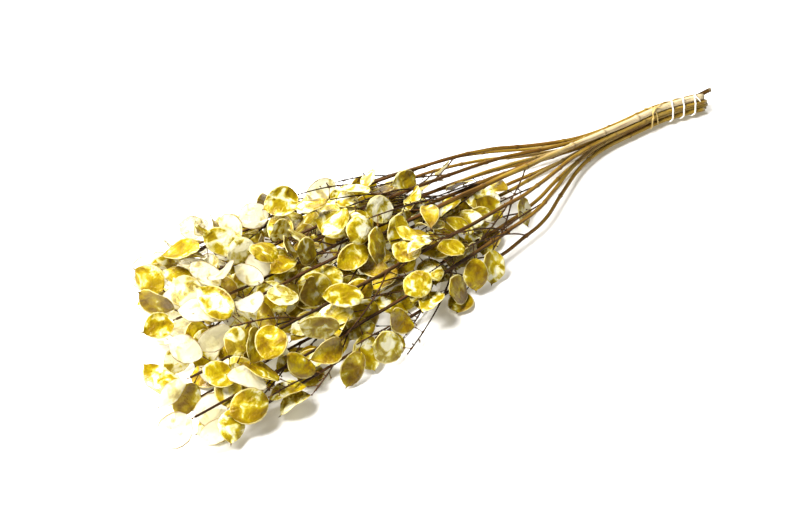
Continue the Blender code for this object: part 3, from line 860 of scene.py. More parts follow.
def tube(path, radii):
    """Rings round a path: middle + r(ring, turn) (side cos turn - up sin turn)."""
    side, up = frames_along(path)[1:]
    turns = even_turns(radii.shape[1])
    out = side[:, None] * np.cos(turns)[:, None] - up[:, None] * np.sin(turns)[:, None]
    return path[:, None] + out * radii[..., None]


def flat_rings(path, wide, thick, turns):
    """Rings round a path: middle + wide cos turn + thick sin turn, where both are arrows."""
    return path[:, None] + wide * np.cos(turns)[:, None] + thick * np.sin(turns)[:, None]


def with_marks(points, on_piece, tone=(0.0, 0.0, 0.0)):
    """Points with six more numbers each, which the finishes read: two marks of three."""
    marks = [np.broadcast_to(value, points.shape[:-1]) for value in (*on_piece, *tone)]
    return np.concatenate((points, np.stack(marks, -1)), -1)


def round_marks(rings, along, turns, tone=(0.0, 0.0, 0.0)):
    """Rings whose first mark is their place along the piece and the turn round it."""
    return with_marks(rings, (along, np.cos(turns), np.sin(turns)), tone)


def skins(rings):
    """Closed skins over rings[skin, ring, side]: four-sided faces between neighbouring rings,
    and a fan from each end ring onto a point in its middle."""
    count, rows, sides = rings.shape[:3]
    ends = np.stack((rings[:, 0].mean(1), rings[:, -1].mean(1)), 1)
    points = np.concatenate((rings.reshape(count, rows * sides, -1), ends), 1)
    ring = np.arange(rows * sides).reshape(rows, sides)
    after = np.roll(ring, -1, 1)
    sheets = np.stack((ring[:-1], after[:-1], after[1:], ring[1:]), -1).reshape(-1, 4)
    first = np.full(sides, rows * sides)
    fans = np.concatenate((
        np.stack((first, after[0], ring[0]), -1),
        np.stack((first + 1, ring[-1], after[-1]), -1),
    ))
    shift = (rows * sides + 2) * np.arange(count)[:, None, None]
    return (
        points.reshape(-1, points.shape[-1]),
        (sheets + shift).reshape(-1, 4),
        (fans + shift).reshape(-1, 3),
    )


def round_skin(rings):
    """The closed skin over rings[ring, side] that ends where it starts."""
    rows, sides = rings.shape[:2]
    ring = np.arange(rows * sides).reshape(rows, sides)
    after = np.roll(ring, -1, 1)
    sheets = np.stack((ring, after, np.roll(after, -1, 0), np.roll(ring, -1, 0)), -1)
    return rings.reshape(rows * sides, -1), sheets.reshape(-1, 4), np.zeros((0, 3), int)


def made_piece(name, parts, finish, node):
    """One object from several skins, moved to the model's place, that stands for its node."""
    points = np.concatenate([part[0] for part in parts])
    starts = np.cumsum([0] + [len(part[0]) for part in parts[:-1]])
    faces = []
    for start, part in zip(starts, parts):
        faces += (part[1] + start).tolist() + (part[2] + start).tolist()
    places = points[:, :3] - SHIFT
    places[:, 2] = np.maximum(places[:, 2], FLOOR_CLEAR)
    mesh = bpy.data.meshes.new(name)
    mesh.from_pydata((places * MM).tolist(), [], faces)
    for mark, columns in (("on_piece", points[:, 3:6]), ("tone", points[:, 6:9])):
        layer = mesh.attributes.new(mark, "FLOAT_VECTOR", "POINT")
        layer.data.foreach_set("vector", np.ascontiguousarray(columns, np.float32).ravel())
    mesh.polygons.foreach_set("use_smooth", np.ones(len(mesh.polygons), bool))
    mesh.materials.append(finish)
    mesh.update()
    piece = bpy.data.objects.new(name, mesh)
    bpy.context.scene.collection.objects.link(piece)
    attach(piece, "root")
    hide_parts(node)


def stations(start, end, gap, knots):
    """Even distances along a line, with more of them round each knot."""
    even = np.linspace(start, end, max(int((end - start) / gap), 2) + 1)
    near = np.add.outer(np.array(knots, float), KNOT_RINGS).ravel()
    near = near[(near > start) & (near < end)]
    inner = np.unique(np.round(np.concatenate((even[1:-1], near)), 1))
    inner = inner[(inner > start + RING_ROOM) & (inner < end - RING_ROOM)]
    return np.concatenate(([start], inner, [end]))


def knotted(distances, knots, size):
    """1 + size near, and near, the sum over the knots of exp(-((distance - knot) / spread)^2)."""
    off = np.subtract.outer(distances, np.array(knots, float)) / KNOT_SPREAD
    near = np.exp(-off * off).sum(1)
    return 1.0 + size * near, np.clip(near, 0.0, 1.0)


def stalk_shade(stalk, distances, dice):
    """How dark a stalk is: its cut end's shade, an even S to the leader's, more on a long end.
    The darkening towards the leader is in part painted shade among the pods.
    """
    butt = BUTT_SHADE + dice.uniform(*BUTT_SHADES) - THICK_PALER * (stalk.butt > THICK_BUTT)
    darker = eased((distances - DARKENS_FROM) / DARKENS_OVER)
    shade = butt + (LEADER_SHADE - butt) * darker
    return shade + LONG_END_DARKER * (stalk.cut < 0.0) * (distances < LONG_END)


def stalk_part(stalk, knots, number, dice):
    """A stalk: a ribbed tube along its line, which wanders by sines, r = radius swell
    (1 + depth cos(ribs turn)), with a slanting cut end whose pith lies a little deeper."""
    distances = stations(stalk.cut, stalk.length - LAST_RING_BACK, STALK_GAP, knots)
    path = np.array([stalk.point(distance) for distance in distances])
    heading, side, up = frames_along(path)
    loose = eased((distances - NECK) / FAN_START)[:, None]
    phases = dice.uniform(0.0, tau, 4)
    waves = [
        np.sin(tau * distances / SWAY_LENGTHS[k % 2] + phases[k])[:, None] for k in range(3)
    ]
    path = path + loose * SWAY * (side * (waves[0] + 0.5 * waves[1]) + up * 0.5 * waves[2])
    swell, scar = knotted(distances, knots, STALK_KNOT)
    radii = np.array([stalk.radius(distance) for distance in distances]) * swell * STALK_FULL
    turns = even_turns(STALK_SIDES)
    ribs = 1.0 + RIB_DEPTH * np.cos(STALK_RIBS * turns + phases[3])
    rings = tube(path, radii[:, None] * ribs)
    slope = dice.uniform(-CUT_SLOPE, CUT_SLOPE, 2)
    edge = rings[0] - path[0]
    slant = edge[:, 1] * slope[0] + edge[:, 2] * slope[1]
    end = [
        path[0] + edge * share + heading[0] * (slant * share + depth)[:, None]
        for share, depth, mark in CUT_RINGS
    ]
    extra = len(CUT_RINGS) - 1
    rings = np.concatenate((np.stack(end), rings[1:]))
    distances = np.concatenate((np.full(extra, distances[0]), distances))
    scar = np.concatenate((np.zeros(extra), scar))
    cut = np.zeros(len(distances))
    cut[:extra + 1] = [mark for share, depth, mark in CUT_RINGS]
    along = distances[:, None] * MARK_SCALE + STALK_MARK * number
    shade = stalk_shade(stalk, distances, dice)
    tone = (shade[:, None], cut[:, None], scar[:, None])
    return skins(round_marks(rings, along, turns, tone)[None])


def twig_part(twig, knots, number, dice):
    """A side twig: an uneven tube, r = radius swell (1 + flare exp(-distance / length)), which
    flares where it leaves its stalk and has a knob at each knot."""
    distances = stations(TWIG_START, twig.length - LAST_RING_BACK, TWIG_GAP, knots)
    path = np.array([twig.point(distance) for distance in distances])
    swell, scar = knotted(distances, knots, TWIG_KNOT)
    flare = 1.0 + ROOT_FLARE * np.exp(-distances / FLARE_LENGTH)
    radii = np.array([twig.radius(distance) for distance in distances]) * swell * flare
    uneven = 1.0 + TWIG_UNEVEN * dice.standard_normal((len(distances), TWIG_SIDES))
    # Near-black twigs: in part their own colour, in part painted shade among the pods.
    darker, length = TWIG_DARKENS
    shade = TWIG_SHADE + darker * eased(distances / length) + dice.uniform(*TWIG_SHADES)
    rings = tube(path, radii[:, None] * uneven)
    along = distances[:, None] * MARK_SCALE + TWIG_MARK * number
    tone = (shade[:, None], 0.0, scar[:, None])
    return skins(round_marks(rings, along, even_turns(TWIG_SIDES), tone)[None])


def pod_stalk_parts(roots, bases, across, face, dice):
    """Short stalks: root + (base - root) s + face bend sin(pi s), thickest where a pod sits."""
    share = np.array(POD_STALK_SHARES)[None, :, None]
    bend = dice.uniform(-POD_STALK_BEND, POD_STALK_BEND, (len(roots), 1, 1))
    middle = (
        roots[:, None] + (bases - roots)[:, None] * share
        + face[:, None] * bend * np.sin(pi * share)
    )
    turns = even_turns(POD_STALK_SIDES)
    out = (
        across[:, None, None] * np.cos(turns)[:, None]
        + face[:, None, None] * np.sin(turns)[:, None]
    )
    rings = middle[:, :, None] + out * np.array(POD_STALK_SIZES)[None, :, None, None]
    # Dark pod stalks: in part their own colour, in part painted shade among the pods.
    shade = dice.uniform(*POD_STALK_SHADES, (len(roots), 1, 1))
    reach = np.linalg.norm(bases - roots, axis=1)[:, None, None] * share * MARK_SCALE
    number = np.arange(len(roots))[:, None, None] * POD_STALK_MARK
    return skins(round_marks(rings, reach + number, turns, (shade, 0.0, 0.0)))


def is_pale(pod, dice):
    """True for a pale pod, likelier towards the tips and the back, where the lamps shine: partly
    bleached, partly painted highlight.
    """
    tip = pod.tip()
    outer = smooth((PALE_FROM - tip.x + PALE_ASIDE * tip.y) / PALE_LENGTH)
    return dice.uniform(0.0, 1.0) < PALE_SHARE * outer


def pod_parts(pods, pale, dice):
    """All pods of one stem. With u along a pod and v across it, a point is
    base + axis u length + across spread width / 2 + face (raised + off). The spread is
    v (1 - |2u - 1|^roundness)^power, and raised adds up the cup, bow, twist, ripple, fold, curl
    and hook. A bead runs round the edge, and a fine point ends the pod."""
    def column(name):
        return np.array([getattr(pod, name) for pod in pods], float)[:, None, None]

    def drawn(low, high):
        return dice.uniform(low, high, (len(pods), 1, 1))

    base, axis, across, face = (column(name) for name in ("base", "axis", "across", "face"))
    length, width, cup, bow, twist = (
        column(name) for name in ("length", "width", "cup", "bow", "twist")
    )
    u = 0.5 - 0.5 * np.cos(pi * np.linspace(*POD_ROW_TURNS, POD_ROWS))[None, :, None]
    v, off = (np.array(part)[None, None] for part in zip(*POD_ROUND))
    pointed, tapered, narrowed = drawn(*POD_POINTED), drawn(*POD_TAPERED), drawn(*POD_NARROWED)
    phase, waves = drawn(0.0, tau), drawn(*POD_WAVES)
    fold = drawn(*POD_FOLD) * (drawn(0.0, 1.0) < FOLDED_PODS)
    curl = POD_CURL * drawn(-1.0, 1.0) * (u + CURL_AT_STALK)
    hook = drawn(-POD_HOOK, POD_HOOK)
    outline = (1.0 - np.abs(2.0 * u - 1.0) ** POD_ROUNDNESS) ** np.where(u > 0.5, pointed, tapered)
    spread = v * outline
    ripple = POD_RIPPLE * np.sin(tau * waves * u + phase + RIPPLE_SLANT * v) * np.abs(v) ** 3
    raised = (
        cup * spread ** 2
        + bow * 4.0 * u * (1.0 - u)
        + twist * spread * (u - 0.5)
        + ripple
        + fold * np.sqrt(spread ** 2 + FOLD_SOFTNESS)
        + curl * np.abs(spread) * spread ** 2
        + hook * u ** 3
    )
    spread = spread * narrowed * (1.0 - FOLD_NARROWS * (fold > 0.0))
    thin = np.minimum(1.0, outline * POD_THINS)
    rows = (
        base
        + axis * (u * length)[..., None]
        + across * (spread * 0.5 * width)[..., None]
        + face * (raised + off * thin)[..., None]
    )
    turns = even_turns(len(POD_ROUND))
    out = across * np.cos(turns)[:, None] + face * np.sin(turns)[:, None]
    style = [
        base + axis * (length[..., None] + reach) + face * hook[..., None] + out * radius
        for reach, radius in STYLE_ROWS
    ]
    rings = np.concatenate([rows] + style, 1)
    beyond = np.ones((len(pods), len(STYLE_ROWS), 1))
    along = np.concatenate((u.repeat(len(pods), 0), beyond), 1)
    half = np.concatenate((outline, 0.0 * beyond), 1)
    # Paleness by bleaching, and in the pale pods also painted highlight.
    middle, varies = BLEACH_AND_LIGHT[pale]
    bleach_and_light = np.clip(middle + dice.normal(0.0, varies, len(pods)), 0.0, 1.0)[:, None, None]
    return skins(with_marks(rings, (along, v, half), (bleach_and_light, drawn(0.0, 1.0), 0.0)))


class Finish:
    """One material, whose nodes are added by calls that read as formulas."""

    def __init__(self, name):
        self.material = bpy.data.materials.new(name)
        self.material.use_nodes = True
        self.tree = self.material.node_tree
        self.tree.nodes.clear()

    def add(self, kind, values=(), output=0, **settings):
        """An output of a new node, whose inputs are linked or set to the values."""
        made = self.tree.nodes.new("ShaderNode" + kind)
        for key, value in settings.items():
            setattr(made, key, value)
        for key, value in dict(values).items():
            if isinstance(value, bpy.types.NodeSocket):
                self.tree.links.new(value, made.inputs[key])
            else:
                made.inputs[key].default_value = value
        return made.outputs[output]

    def place(self):
        return self.add("TexCoord", output="Object")

    def mark(self, name):
        """The mark of three numbers that a piece carries under a name."""
        return self.add("Attribute", output="Vector", attribute_name=name)

    def parts(self, mark):
        """The three numbers of a mark."""
        split = self.add("SeparateXYZ", {0: mark}).node
        return [split.outputs[axis] for axis in "XYZ"]

    def sum(self, first, second):
        return self.add("Math", {0: first, 1: second}, operation="ADD")

    def times(self, first, second):
        return self.add("Math", {0: first, 1: second}, operation="MULTIPLY")

    def total(self, start, values, weights):
        """The start and each value times its weight, added up."""
        for value, weight in zip(values, weights):
            start = self.sum(start, self.times(value, weight))
        return start

    def size(self, value):
        return self.add("Math", {0: value}, operation="ABSOLUTE")

    def step(self, value, low, high):
        """0 at low and 1 at high, with an even S between."""
        values = {"Value": value, "From Min": low, "From Max": high}
        return self.add("MapRange", values, interpolation_type="SMOOTHSTEP")

    def noise(self, place, scale, detail=3.0, rough=0.5, warp=0.0):
        values = {"Vector": place, "Scale": scale, "Detail": detail, "Roughness": rough}
        return self.add("TexNoise", {**values, "Distortion": warp}, "Fac")

    def cells(self, place, scale, uneven=1.0, **settings):
        """Distances in a pattern of cells."""
        values = {"Vector": place, "Scale": scale, "Randomness": uneven}
        return self.add("TexVoronoi", values, "Distance", **settings)

    def scaled(self, place, sizes):
        return self.add("Mapping", {"Vector": place, "Scale": sizes})

    def blend(self, share, first, second):
        return self.add("Mix", {0: share, 6: first, 7: second}, 2, data_type="RGBA")

    def tinted(self, colour, other, share, most):
        """The colour, blended towards another by the share of the most."""
        return self.blend(self.times(share, most), colour, other)

    def ramp(self, share, stops):
        """Colours by share, straight between the stops."""
        colour = self.add("ValToRGB", {0: share})
        steps = colour.node.color_ramp.elements
        while len(steps) < len(stops):
            steps.new(0.5)
        for step, (place, shade) in zip(steps, stops):
            step.position = place
            step.color = (*shade, 1.0)
        return colour

    def bump(self, height, distance, strength, under=None):
        """A normal raised by the height, over the one under it."""
        values = {"Height": height, "Distance": distance, "Strength": strength}
        if under is not None:
            values["Normal"] = under
        return self.add("Bump", values)

    def surface(self, colour, roughness, **values):
        """The shader of a surface; the other values' names have _ for a space."""
        named = {name.replace("_", " "): value for name, value in values.items()}
        return self.add("BsdfPrincipled", {"Base Color": colour, "Roughness": roughness, **named})

    def mixed(self, share, first, second):
        return self.add("MixShader", {0: share, 1: first, 2: second})

    def end(self, shader):
        """The material, ended by its shader."""
        output = self.tree.nodes.new("ShaderNodeOutputMaterial")
        self.tree.links.new(shader, output.inputs["Surface"])
        return self.material


def pod_paper(name, clear):
    """Dry pod walls: gold and olive mottles over cream, a net of fine veins, the flat prints of the
    seeds, a bright bead round the edge, a satin gloss, and light that shines through. The cream
    patches are in part painted highlight, and so is the pale pods' paleness. The pale ones are
    clear by a share."""
    made = Finish(name)
    place = made.place()
    on = made.mark("on_piece")
    v, half = made.parts(on)[1:]
    bleach_and_light, draw = made.parts(made.mark("tone"))[:2]
    # Cream blotches: in part the wall's own mottling, in part painted highlight.
    blotches_and_sheen = made.noise(place, 95.0, detail=2.0, rough=0.45, warp=0.7)
    broad = made.noise(place, 40.0, detail=1.0)
    fine = made.noise(place, 330.0, rough=0.6, warp=0.8)
    share = made.total(MOTTLES_AND_SHEEN_START, (blotches_and_sheen, broad, fine, bleach_and_light, draw), MOTTLES_AND_SHEEN)
    colour = made.ramp(share, POD_COLOURS)
    # Creamier with paleness: bleaching, and in the pale pods painted highlight.
    colour = made.tinted(colour, CREAM, made.step(bleach_and_light, 0.55, 0.85), most=0.35)
    specks = made.step(made.noise(place, 640.0, detail=2.0), 0.68, 0.74)
    specks = made.times(specks, made.step(draw, 0.5, 0.9))
    colour = made.tinted(colour, SPECK, specks, most=0.6)
    seeds = made.cells(made.scaled(on, (3.0, 1.25, 0.0)), 1.0, uneven=0.8)
    seeds = made.step(seeds, 0.36, 0.2)
    colour = made.tinted(colour, SEED_PRINT, seeds, most=0.2)
    edge = made.times(made.step(made.size(v), 0.88, 0.95), made.step(half, 0.1, 0.4))
    bead = made.blend(made.step(bleach_and_light, 0.5, 0.8), GOLD_EDGE, BROWN_EDGE)
    colour = made.tinted(colour, bead, edge, most=0.8)
    colour = made.blend(made.step(half, 0.08, 0.0), colour, DARK_POINT)
    veins = made.step(made.cells(place, 430.0, feature="DISTANCE_TO_EDGE"), 0.10, 0.0)
    dents = made.noise(place, 85.0, detail=2.0, warp=0.6)
    wrinkles = made.noise(place, 230.0, detail=4.0, rough=0.6, warp=1.2)
    normal = made.bump(dents, 0.0034, 0.9)
    normal = made.bump(wrinkles, 0.0008, 0.8, under=normal)
    prints = made.sum(made.times(veins, 0.25), seeds)
    normal = made.bump(prints, 0.0004, 0.6, under=normal)
    paper = made.surface(
        colour, 0.27, Normal=normal, Coat_Weight=0.22, Coat_Roughness=0.12,
        Specular_IOR_Level=0.5, Specular_Tint=GOLD_GLOSS,
    )
    deeper = made.add("Gamma", {"Color": colour, "Gamma": 1.3})
    through = made.add("BsdfTranslucent", {"Color": deeper, "Normal": normal})
    wall = made.mixed(made.sum(made.times(bleach_and_light, 0.30), 0.28), paper, through)
    if clear:
        open_share = made.times(made.sum(1.0, made.times(edge, -0.8)), clear)
        wall = made.mixed(open_share, wall, made.add("BsdfTransparent"))
    return made.end(wall)


def stalk_wood():
    """Dry stalks: tan at the cut ends, golden olive and then dark brown towards the pods, the dark
    in part painted shade among the pods, with streaks along them, dark rings at the knots, and
    pale wood round dark pith where they are cut."""
    made = Finish("dry_stalk")
    on = made.mark("on_piece")
    shade, cut, scar = made.parts(made.mark("tone"))
    streaks = made.noise(
        made.scaled(on, (0.9, 2.2, 2.2)), 2.4, detail=5.0, rough=0.65, warp=0.3
    )
    patches = made.noise(made.scaled(on, (2.0, 0.5, 0.5)), 1.6)
    uneven = made.sum(streaks, -0.5), made.sum(patches, -0.5)
    colour = made.ramp(made.total(shade, uneven, (0.75, 0.55)), STALK_COLOURS)
    flush = made.noise(made.scaled(on, (1.3, 1.1, 1.1)), 1.3, detail=2.0)
    colour = made.tinted(colour, RED_FLUSH, made.step(flush, 0.50, 0.68), most=0.75)
    colour = made.tinted(colour, SCAR_BROWN, scar, most=0.55)
    rings = made.noise(made.place(), 900.0)
    wood = made.tinted(made.ramp(cut, CUT_COLOURS), CUT_RING, rings, most=0.5)
    colour = made.blend(made.step(cut, 0.02, 0.12), colour, wood)
    grain = made.noise(made.scaled(on, (3.0, 7.0, 7.0)), 3.0, detail=4.0, rough=0.7)
    normal = made.bump(made.sum(made.times(streaks, 0.6), grain), 0.0005, 0.8)
    return made.end(made.surface(
        colour, 0.5, Normal=normal, Specular_IOR_Level=0.22, Specular_Tint=BARK_GLOSS
    ))


def cotton_string():
    """White cotton: matt fibres along each strand, a little grey in the grooves, which is painted
    shade.
    """
    made = Finish("cotton_string")
    on = made.mark("on_piece")
    groove = made.parts(on)[1]
    fibres = made.noise(made.scaled(on, (1.0, 1.0, 6.0)), 9.0, detail=4.0, rough=0.7)
    soil = made.step(made.noise(made.place(), 190.0), 0.55, 0.75)
    # Greyer where the section narrows into a groove: painted shade.
    colour = made.ramp(made.total(0.0, (groove, fibres), (0.6, 0.4)), STRING_COLOURS)
    colour = made.tinted(colour, SOIL, soil, most=0.3)
    normal = made.bump(fibres, 0.0003, 0.6)
    return made.end(made.surface(
        colour, 0.85, Normal=normal, Sheen_Weight=0.3, Specular_IOR_Level=0.2
    ))


def straw_skin():
    """Yellow straw: satin, with fine fibres along it and darker splits."""
    made = Finish("yellow_straw")
    on = made.mark("on_piece")
    fibres = made.noise(made.scaled(on, (0.6, 9.0, 9.0)), 2.0, detail=5.0, rough=0.7)
    normal = made.bump(fibres, 0.0004, 0.8)
    return made.end(made.surface(made.ramp(fibres, STRAW_COLOURS), 0.42, Normal=normal))


def running_mean(path, wide):
    """A path's mean over each stretch of that many points."""
    window = np.ones(wide) / wide
    return np.stack([np.convolve(path[:, axis], window, "valid") for axis in range(3)], -1)


def resampled(path, gap):
    """Points at even distances along a path, its corners rounded by a running mean."""
    lengths = np.concatenate(([0.0], np.cumsum(np.linalg.norm(np.diff(path, axis=0), axis=1))))
    places = np.linspace(0.0, lengths[-1], int(lengths[-1] / gap) + 1)
    even = np.stack([np.interp(places, lengths, path[:, axis]) for axis in range(3)], -1)
    wide = int(CORNER / gap)
    padded = np.concatenate((np.repeat(even[:1], wide, 0), even, np.repeat(even[-1:], wide, 0)))
    return places, running_mean(padded, 2 * wide + 1)


def twisted(path, full, gap):
    """A string of two strands: its ring's radius is r (0.76 + 0.24 |cos(turn - twist)|), and the
    twist goes once round for each pitch along it."""
    places, middle = resampled(path, gap)
    turns = even_turns(STRING_SIDES) - tau * places[:, None] / STRING_PITCH
    lobe = np.abs(np.cos(turns))
    close = np.minimum(1.0, np.minimum(places, places[-1] - places) / STRING_CLOSES + 0.5)
    radii = STRING_RADIUS * full * (STRING_LOBES[0] + STRING_LOBES[1] * lobe) * close[:, None]
    marks = (places[:, None] * STRING_MARK, lobe, np.sin(turns))
    return skins(with_marks(tube(middle, radii), marks)[None])


def hull_path(stalks, distances, turns, off):
    """The hull's points at some distances and turns."""
    return np.array([hull_point(stalks, at, turn, off) for at, turn in zip(distances, turns)])


def string_parts(stalks):
    """The string: a taut coil that climbs along the bundle while it goes round, and its knot."""
    share = np.linspace(0.0, 1.0, int(STRING_TURNS * STRING_STEPS))
    distances = STRING_FROM + (STRING_TO - STRING_FROM) * share
    turns = STRING_START + tau * STRING_TURNS * share
    path = hull_path(stalks, distances, turns, STRING_RADIUS + TIE_GAP * STRING_OFF)
    return [twisted(path, STRING_FULL, STRING_GAP)] + knot_parts(path[0], path[3] - path[0])


def knot_parts(middle, way):
    """The string's knot, a three-lobed curve (sin t + 2 sin 2t, cos t - 2 cos 2t, -sin 3t), and
    the two short ends that leave it."""
    out = unit(middle - np.array((middle[0], *BUNDLE_MIDDLE)))
    way = unit(way)
    across = np.cross(way, out)
    t = tau * np.linspace(0.0, KNOT_TURN, KNOT_STEPS)[:, None]
    lobes = (
        way * (np.sin(t) + 2.0 * np.sin(2.0 * t))
        + across * (np.cos(t) - 2.0 * np.cos(2.0 * t))
        - out * np.sin(3.0 * t)
    )
    parts = [twisted(middle + out * KNOT_OFF + lobes * KNOT_SIZE, KNOT_FULL, KNOT_GAP)]
    share = np.linspace(0.0, 1.0, END_STEPS)[:, None]
    lift, wave, turn, fall = END_LIFT
    height = lift + wave * np.sin(turn * share) - fall * share
    for aside, along, length in KNOT_ENDS:
        path = middle + (across * aside + way * along) * share * length + out * height
        parts.append(twisted(path, END_FULL, KNOT_GAP))
    return parts


def straw_parts(stalks):
    """The straw: a flat ribbed ring round the bundle, a little askew, and its loose strands."""
    turns = even_turns(STRAW_TURNS)
    distances = STRAW_AT + STRAW_ASKEW * np.sin(turns)
    inner = hull_path(stalks, distances, turns, TIE_GAP + 0.5 * STRAW_THICKNESS)
    past = STRAW_WINDOW // 2
    middle = running_mean(np.concatenate((inner[-past:], inner, inner[:past])), STRAW_WINDOW)
    out = np.stack((np.zeros(STRAW_TURNS), np.cos(turns), np.sin(turns)), -1)[:, None]
    sides = even_turns(STRAW_SIDES)
    ribs = 1.0 + STRAW_RIBS[0] * np.cos(STRAW_RIBS[1] * sides)
    wide = np.array(ALONG) * STRAW_WIDTH * 0.5
    rings = flat_rings(middle, wide, out * STRAW_THICKNESS * 0.5 * ribs[:, None], sides)
    band = round_skin(round_marks(rings, turns[:, None], sides))
    return [band] + [straw_strand(stalks, *strand) for strand in STRAW_STRANDS]


def straw_strand(stalks, start, end, first, last, width, thickness, off):
    """A flat strand of straw that lies on the bundle from one distance and turn to another, its
    section an ellipse that narrows at both ends."""
    share = np.linspace(0.0, 1.0, STRAND_STEPS)
    distances = start + (end - start) * share
    path = hull_path(stalks, distances, first + (last - first) * share, off)
    path = resampled(path, STRAND_GAP)[1]
    share = np.linspace(0.0, 1.0, len(path))
    out = path - (0.0, *BUNDLE_MIDDLE)
    out[:, 0] = 0.0
    out = unit(out)
    across = unit(np.cross(unit(np.gradient(path, axis=0)), out))
    widens, least = STRAND_ENDS
    full = np.minimum(1.0, np.minimum(share, 1.0 - share) * widens + least)[:, None]
    wide, thick = across * full * width * 0.5, out * full * thickness * 0.5
    sides = even_turns(STRAND_SIDES)
    rings = flat_rings(path, wide[:, None], thick[:, None], sides)
    return skins(round_marks(rings, share[:, None] * STRAND_MARK + start, sides)[None])


def model_shift(stalks):
    """From the layout's place to the model's: between the middles of the straw band's boxes."""
    corners = []
    for k in range(STRAW_STEPS):
        turn = tau * k / STRAW_STEPS
        distance = STRAW_AT + STRAW_ASKEW * sin(turn)
        for off in (TIE_GAP, TIE_GAP + STRAW_THICKNESS):
            corner = hull_point(stalks, distance, turn, off)
            half = ALONG * (STRAW_WIDTH * 0.5)
            corners += [corner + half, corner - half]
    low, high = box_of(corners)
    packed_low, packed_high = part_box("straw_tie")
    return np.array([
        (low[axis] + high[axis]) / 2 - (packed_low[axis] + packed_high[axis]) / 2 / MM
        for axis in range(3)
    ])


def stem_knots(stalk, twigs, own, dice):
    """Where a stalk's knots are: at its twigs and pods, and old leaf scars below them."""
    knots = [twig[0] for twig in twigs] + [place for place, _ in own if place < stalk.length]
    at = SCARS_FROM + dice.uniform(0.0, SCAR_SPACING[0])
    while at < stalk.first_twig - SCAR_ROOM:
        knots.append(at)
        at += dice.uniform(*SCAR_SPACING)
    return sorted(knots)


def spurs_on(twig, dice):
    """Roots, ends and directions of a twig's bare little stalks."""
    made = []
    for at in dice.uniform(SPUR_ENDS[0], twig.length - SPUR_ENDS[1], SPURS):
        heading = twig.heading(at)
        side, up = cross_frame(heading)
        turn = dice.uniform(0.0, tau)
        out = side * cos(turn) + up * sin(turn)
        toward = (heading * SPUR_LEAN[0] + out * SPUR_LEAN[1]).normalized()
        across = toward.cross(out).normalized()
        root = twig.point(at)
        end = root + toward * dice.uniform(*SPUR_LENGTH)
        made.append((root, end, across, toward.cross(across)))
    return made


def set_camera():
    """The camera looks at the bunch from VIEW_TURN and VIEW_RISE, aimed so that the layout's
    middle falls on SEEN in the picture."""
    turn, rise = radians(VIEW_TURN), radians(VIEW_RISE)
    back = Vector((sin(turn) * cos(rise), -cos(turn) * cos(rise), sin(rise)))
    right = Vector((cos(turn), sin(turn), 0.0))
    up = back.cross(right)
    reach = LENS / SENSOR * PICTURE[0]
    ray = (
        right * ((PICTURE[0] / 2 - SEEN[0]) / reach)
        - up * ((PICTURE[1] / 2 - SEEN[1]) / reach)
        - back
    )
    lens = bpy.data.cameras.new("camera")
    lens.lens = LENS
    lens.sensor_width = SENSOR
    camera = bpy.data.objects.new("camera", lens)
    place_object(camera, back * VIEW_DISTANCE - Vector(SHIFT * MM), ray)
    bpy.context.scene.camera = camera


def place_object(thing, place, ray):
    """Puts a camera or lamp in the scene, looking along a ray."""
    thing.location = place
    thing.rotation_mode = "QUATERNION"
    thing.rotation_quaternion = ray.to_track_quat("-Z", "Y")
    bpy.context.scene.collection.objects.link(thing)


def set_light():
    """A dim white room, a soft strong lamp high beyond the tips, and a weaker one far behind
    the bunch."""
    world = bpy.data.worlds.new("white_room")
    world.use_nodes = True
    sky = world.node_tree.nodes["Background"]
    sky.inputs["Color"].default_value = (1.0, 1.0, 1.0, 1.0)
    sky.inputs["Strength"].default_value = ROOM_LIGHT
    bpy.context.scene.world = world
    bpy.context.scene.view_settings.view_transform = "Standard"
    for name, place, aim, size, power, colour in LAMPS:
        lamp = bpy.data.lights.new(name, "AREA")
        lamp.shape = "DISK"
        lamp.size = size
        lamp.energy = power
        lamp.color = colour
        light = bpy.data.objects.new(name, lamp)
        place_object(light, place, Vector(aim) - Vector(place))


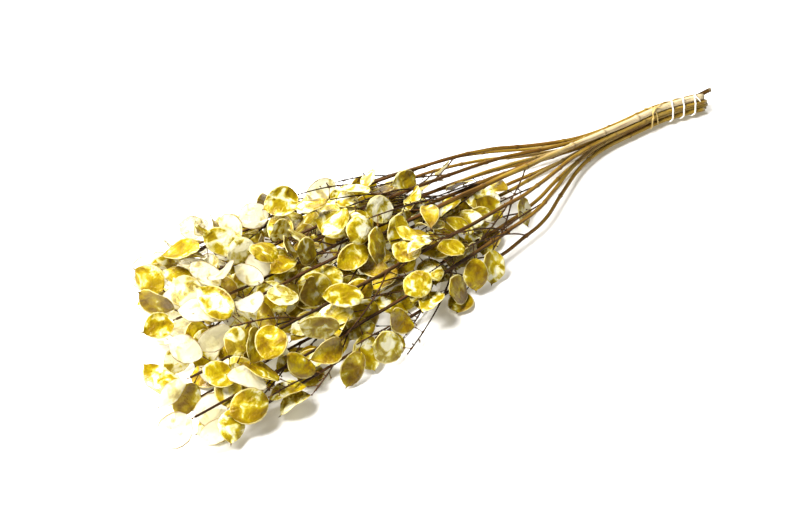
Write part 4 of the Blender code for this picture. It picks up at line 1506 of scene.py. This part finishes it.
def set_floor():
    """A plain white sheet of floor under the bunch, with a faint warm glow."""
    made = Finish("white_floor")
    colour = made.blend(made.noise(made.place(), 3.0, detail=2.0), *FLOOR_GREYS)
    finish = made.end(made.surface(
        colour, 0.7, Specular_IOR_Level=0.2, Emission_Color=FLOOR_GLOW,
        Emission_Strength=FLOOR_GLOW_STRENGTH,
    ))
    corners = [(x * FLOOR_HALF, y * FLOOR_HALF, 0.0) for x, y in ((-1, -1), (1, -1), (1, 1), (-1, 1))]
    mesh = bpy.data.meshes.new("floor")
    mesh.from_pydata(corners, [], [(0, 1, 2, 3)])
    mesh.materials.append(finish)
    floor = bpy.data.objects.new("floor", mesh)
    bpy.context.scene.collection.objects.link(floor)


def add_stems(stems):
    """Each stem in its wood and its golden and pale pods, which stand for the model's one."""
    dice = np.random.default_rng(LOOKS_SEED)
    wood = stalk_wood()
    # The pale pods' paper: bleached wall and painted highlight where the lamps shine.
    papers = pod_paper("dry_pod_paper", 0.0), pod_paper("bleached_and_lit_pod_paper", PALE_CLEAR)
    for number, (stalk, twigs, own) in enumerate(stems, start=1):
        node = f"stem_{number:02d}"
        parts = [stalk_part(stalk, stem_knots(stalk, twigs, own, dice), number, dice)]
        grown = [pod for place, pod in own]
        short = []
        for at, twig, pods in twigs:
            knots = [place for place, pod in pods if place < twig.length]
            short += spurs_on(twig, dice)
            parts.append(twig_part(twig, knots, number + at * MARK_SCALE, dice))
            grown += [pod for place, pod in pods]
        short += [(pod.root, pod.base, pod.across, pod.face) for pod in grown]
        arrays = [np.array(column, float) for column in zip(*short)]
        parts.append(pod_stalk_parts(*arrays, dice))
        made_piece(node + "_stalks", parts, wood, node)
        groups = [], []
        for pod in grown:
            groups[is_pale(pod, dice)].append(pod)
        for pale, ending in enumerate(("_pods", "_pale_pods")):
            if groups[pale]:
                part = pod_parts(groups[pale], pale, dice)
                made_piece(node + ending, [part], papers[pale], node)


stems = laid_out_stems()
stalks = [stem[0] for stem in stems]
SHIFT = model_shift(stalks)
set_camera()
set_floor()
set_light()
add_stems(stems)
made_piece("string_coil", string_parts(stalks), cotton_string(), "binding_string")
made_piece("straw_band", straw_parts(stalks), straw_skin(), "straw_tie")
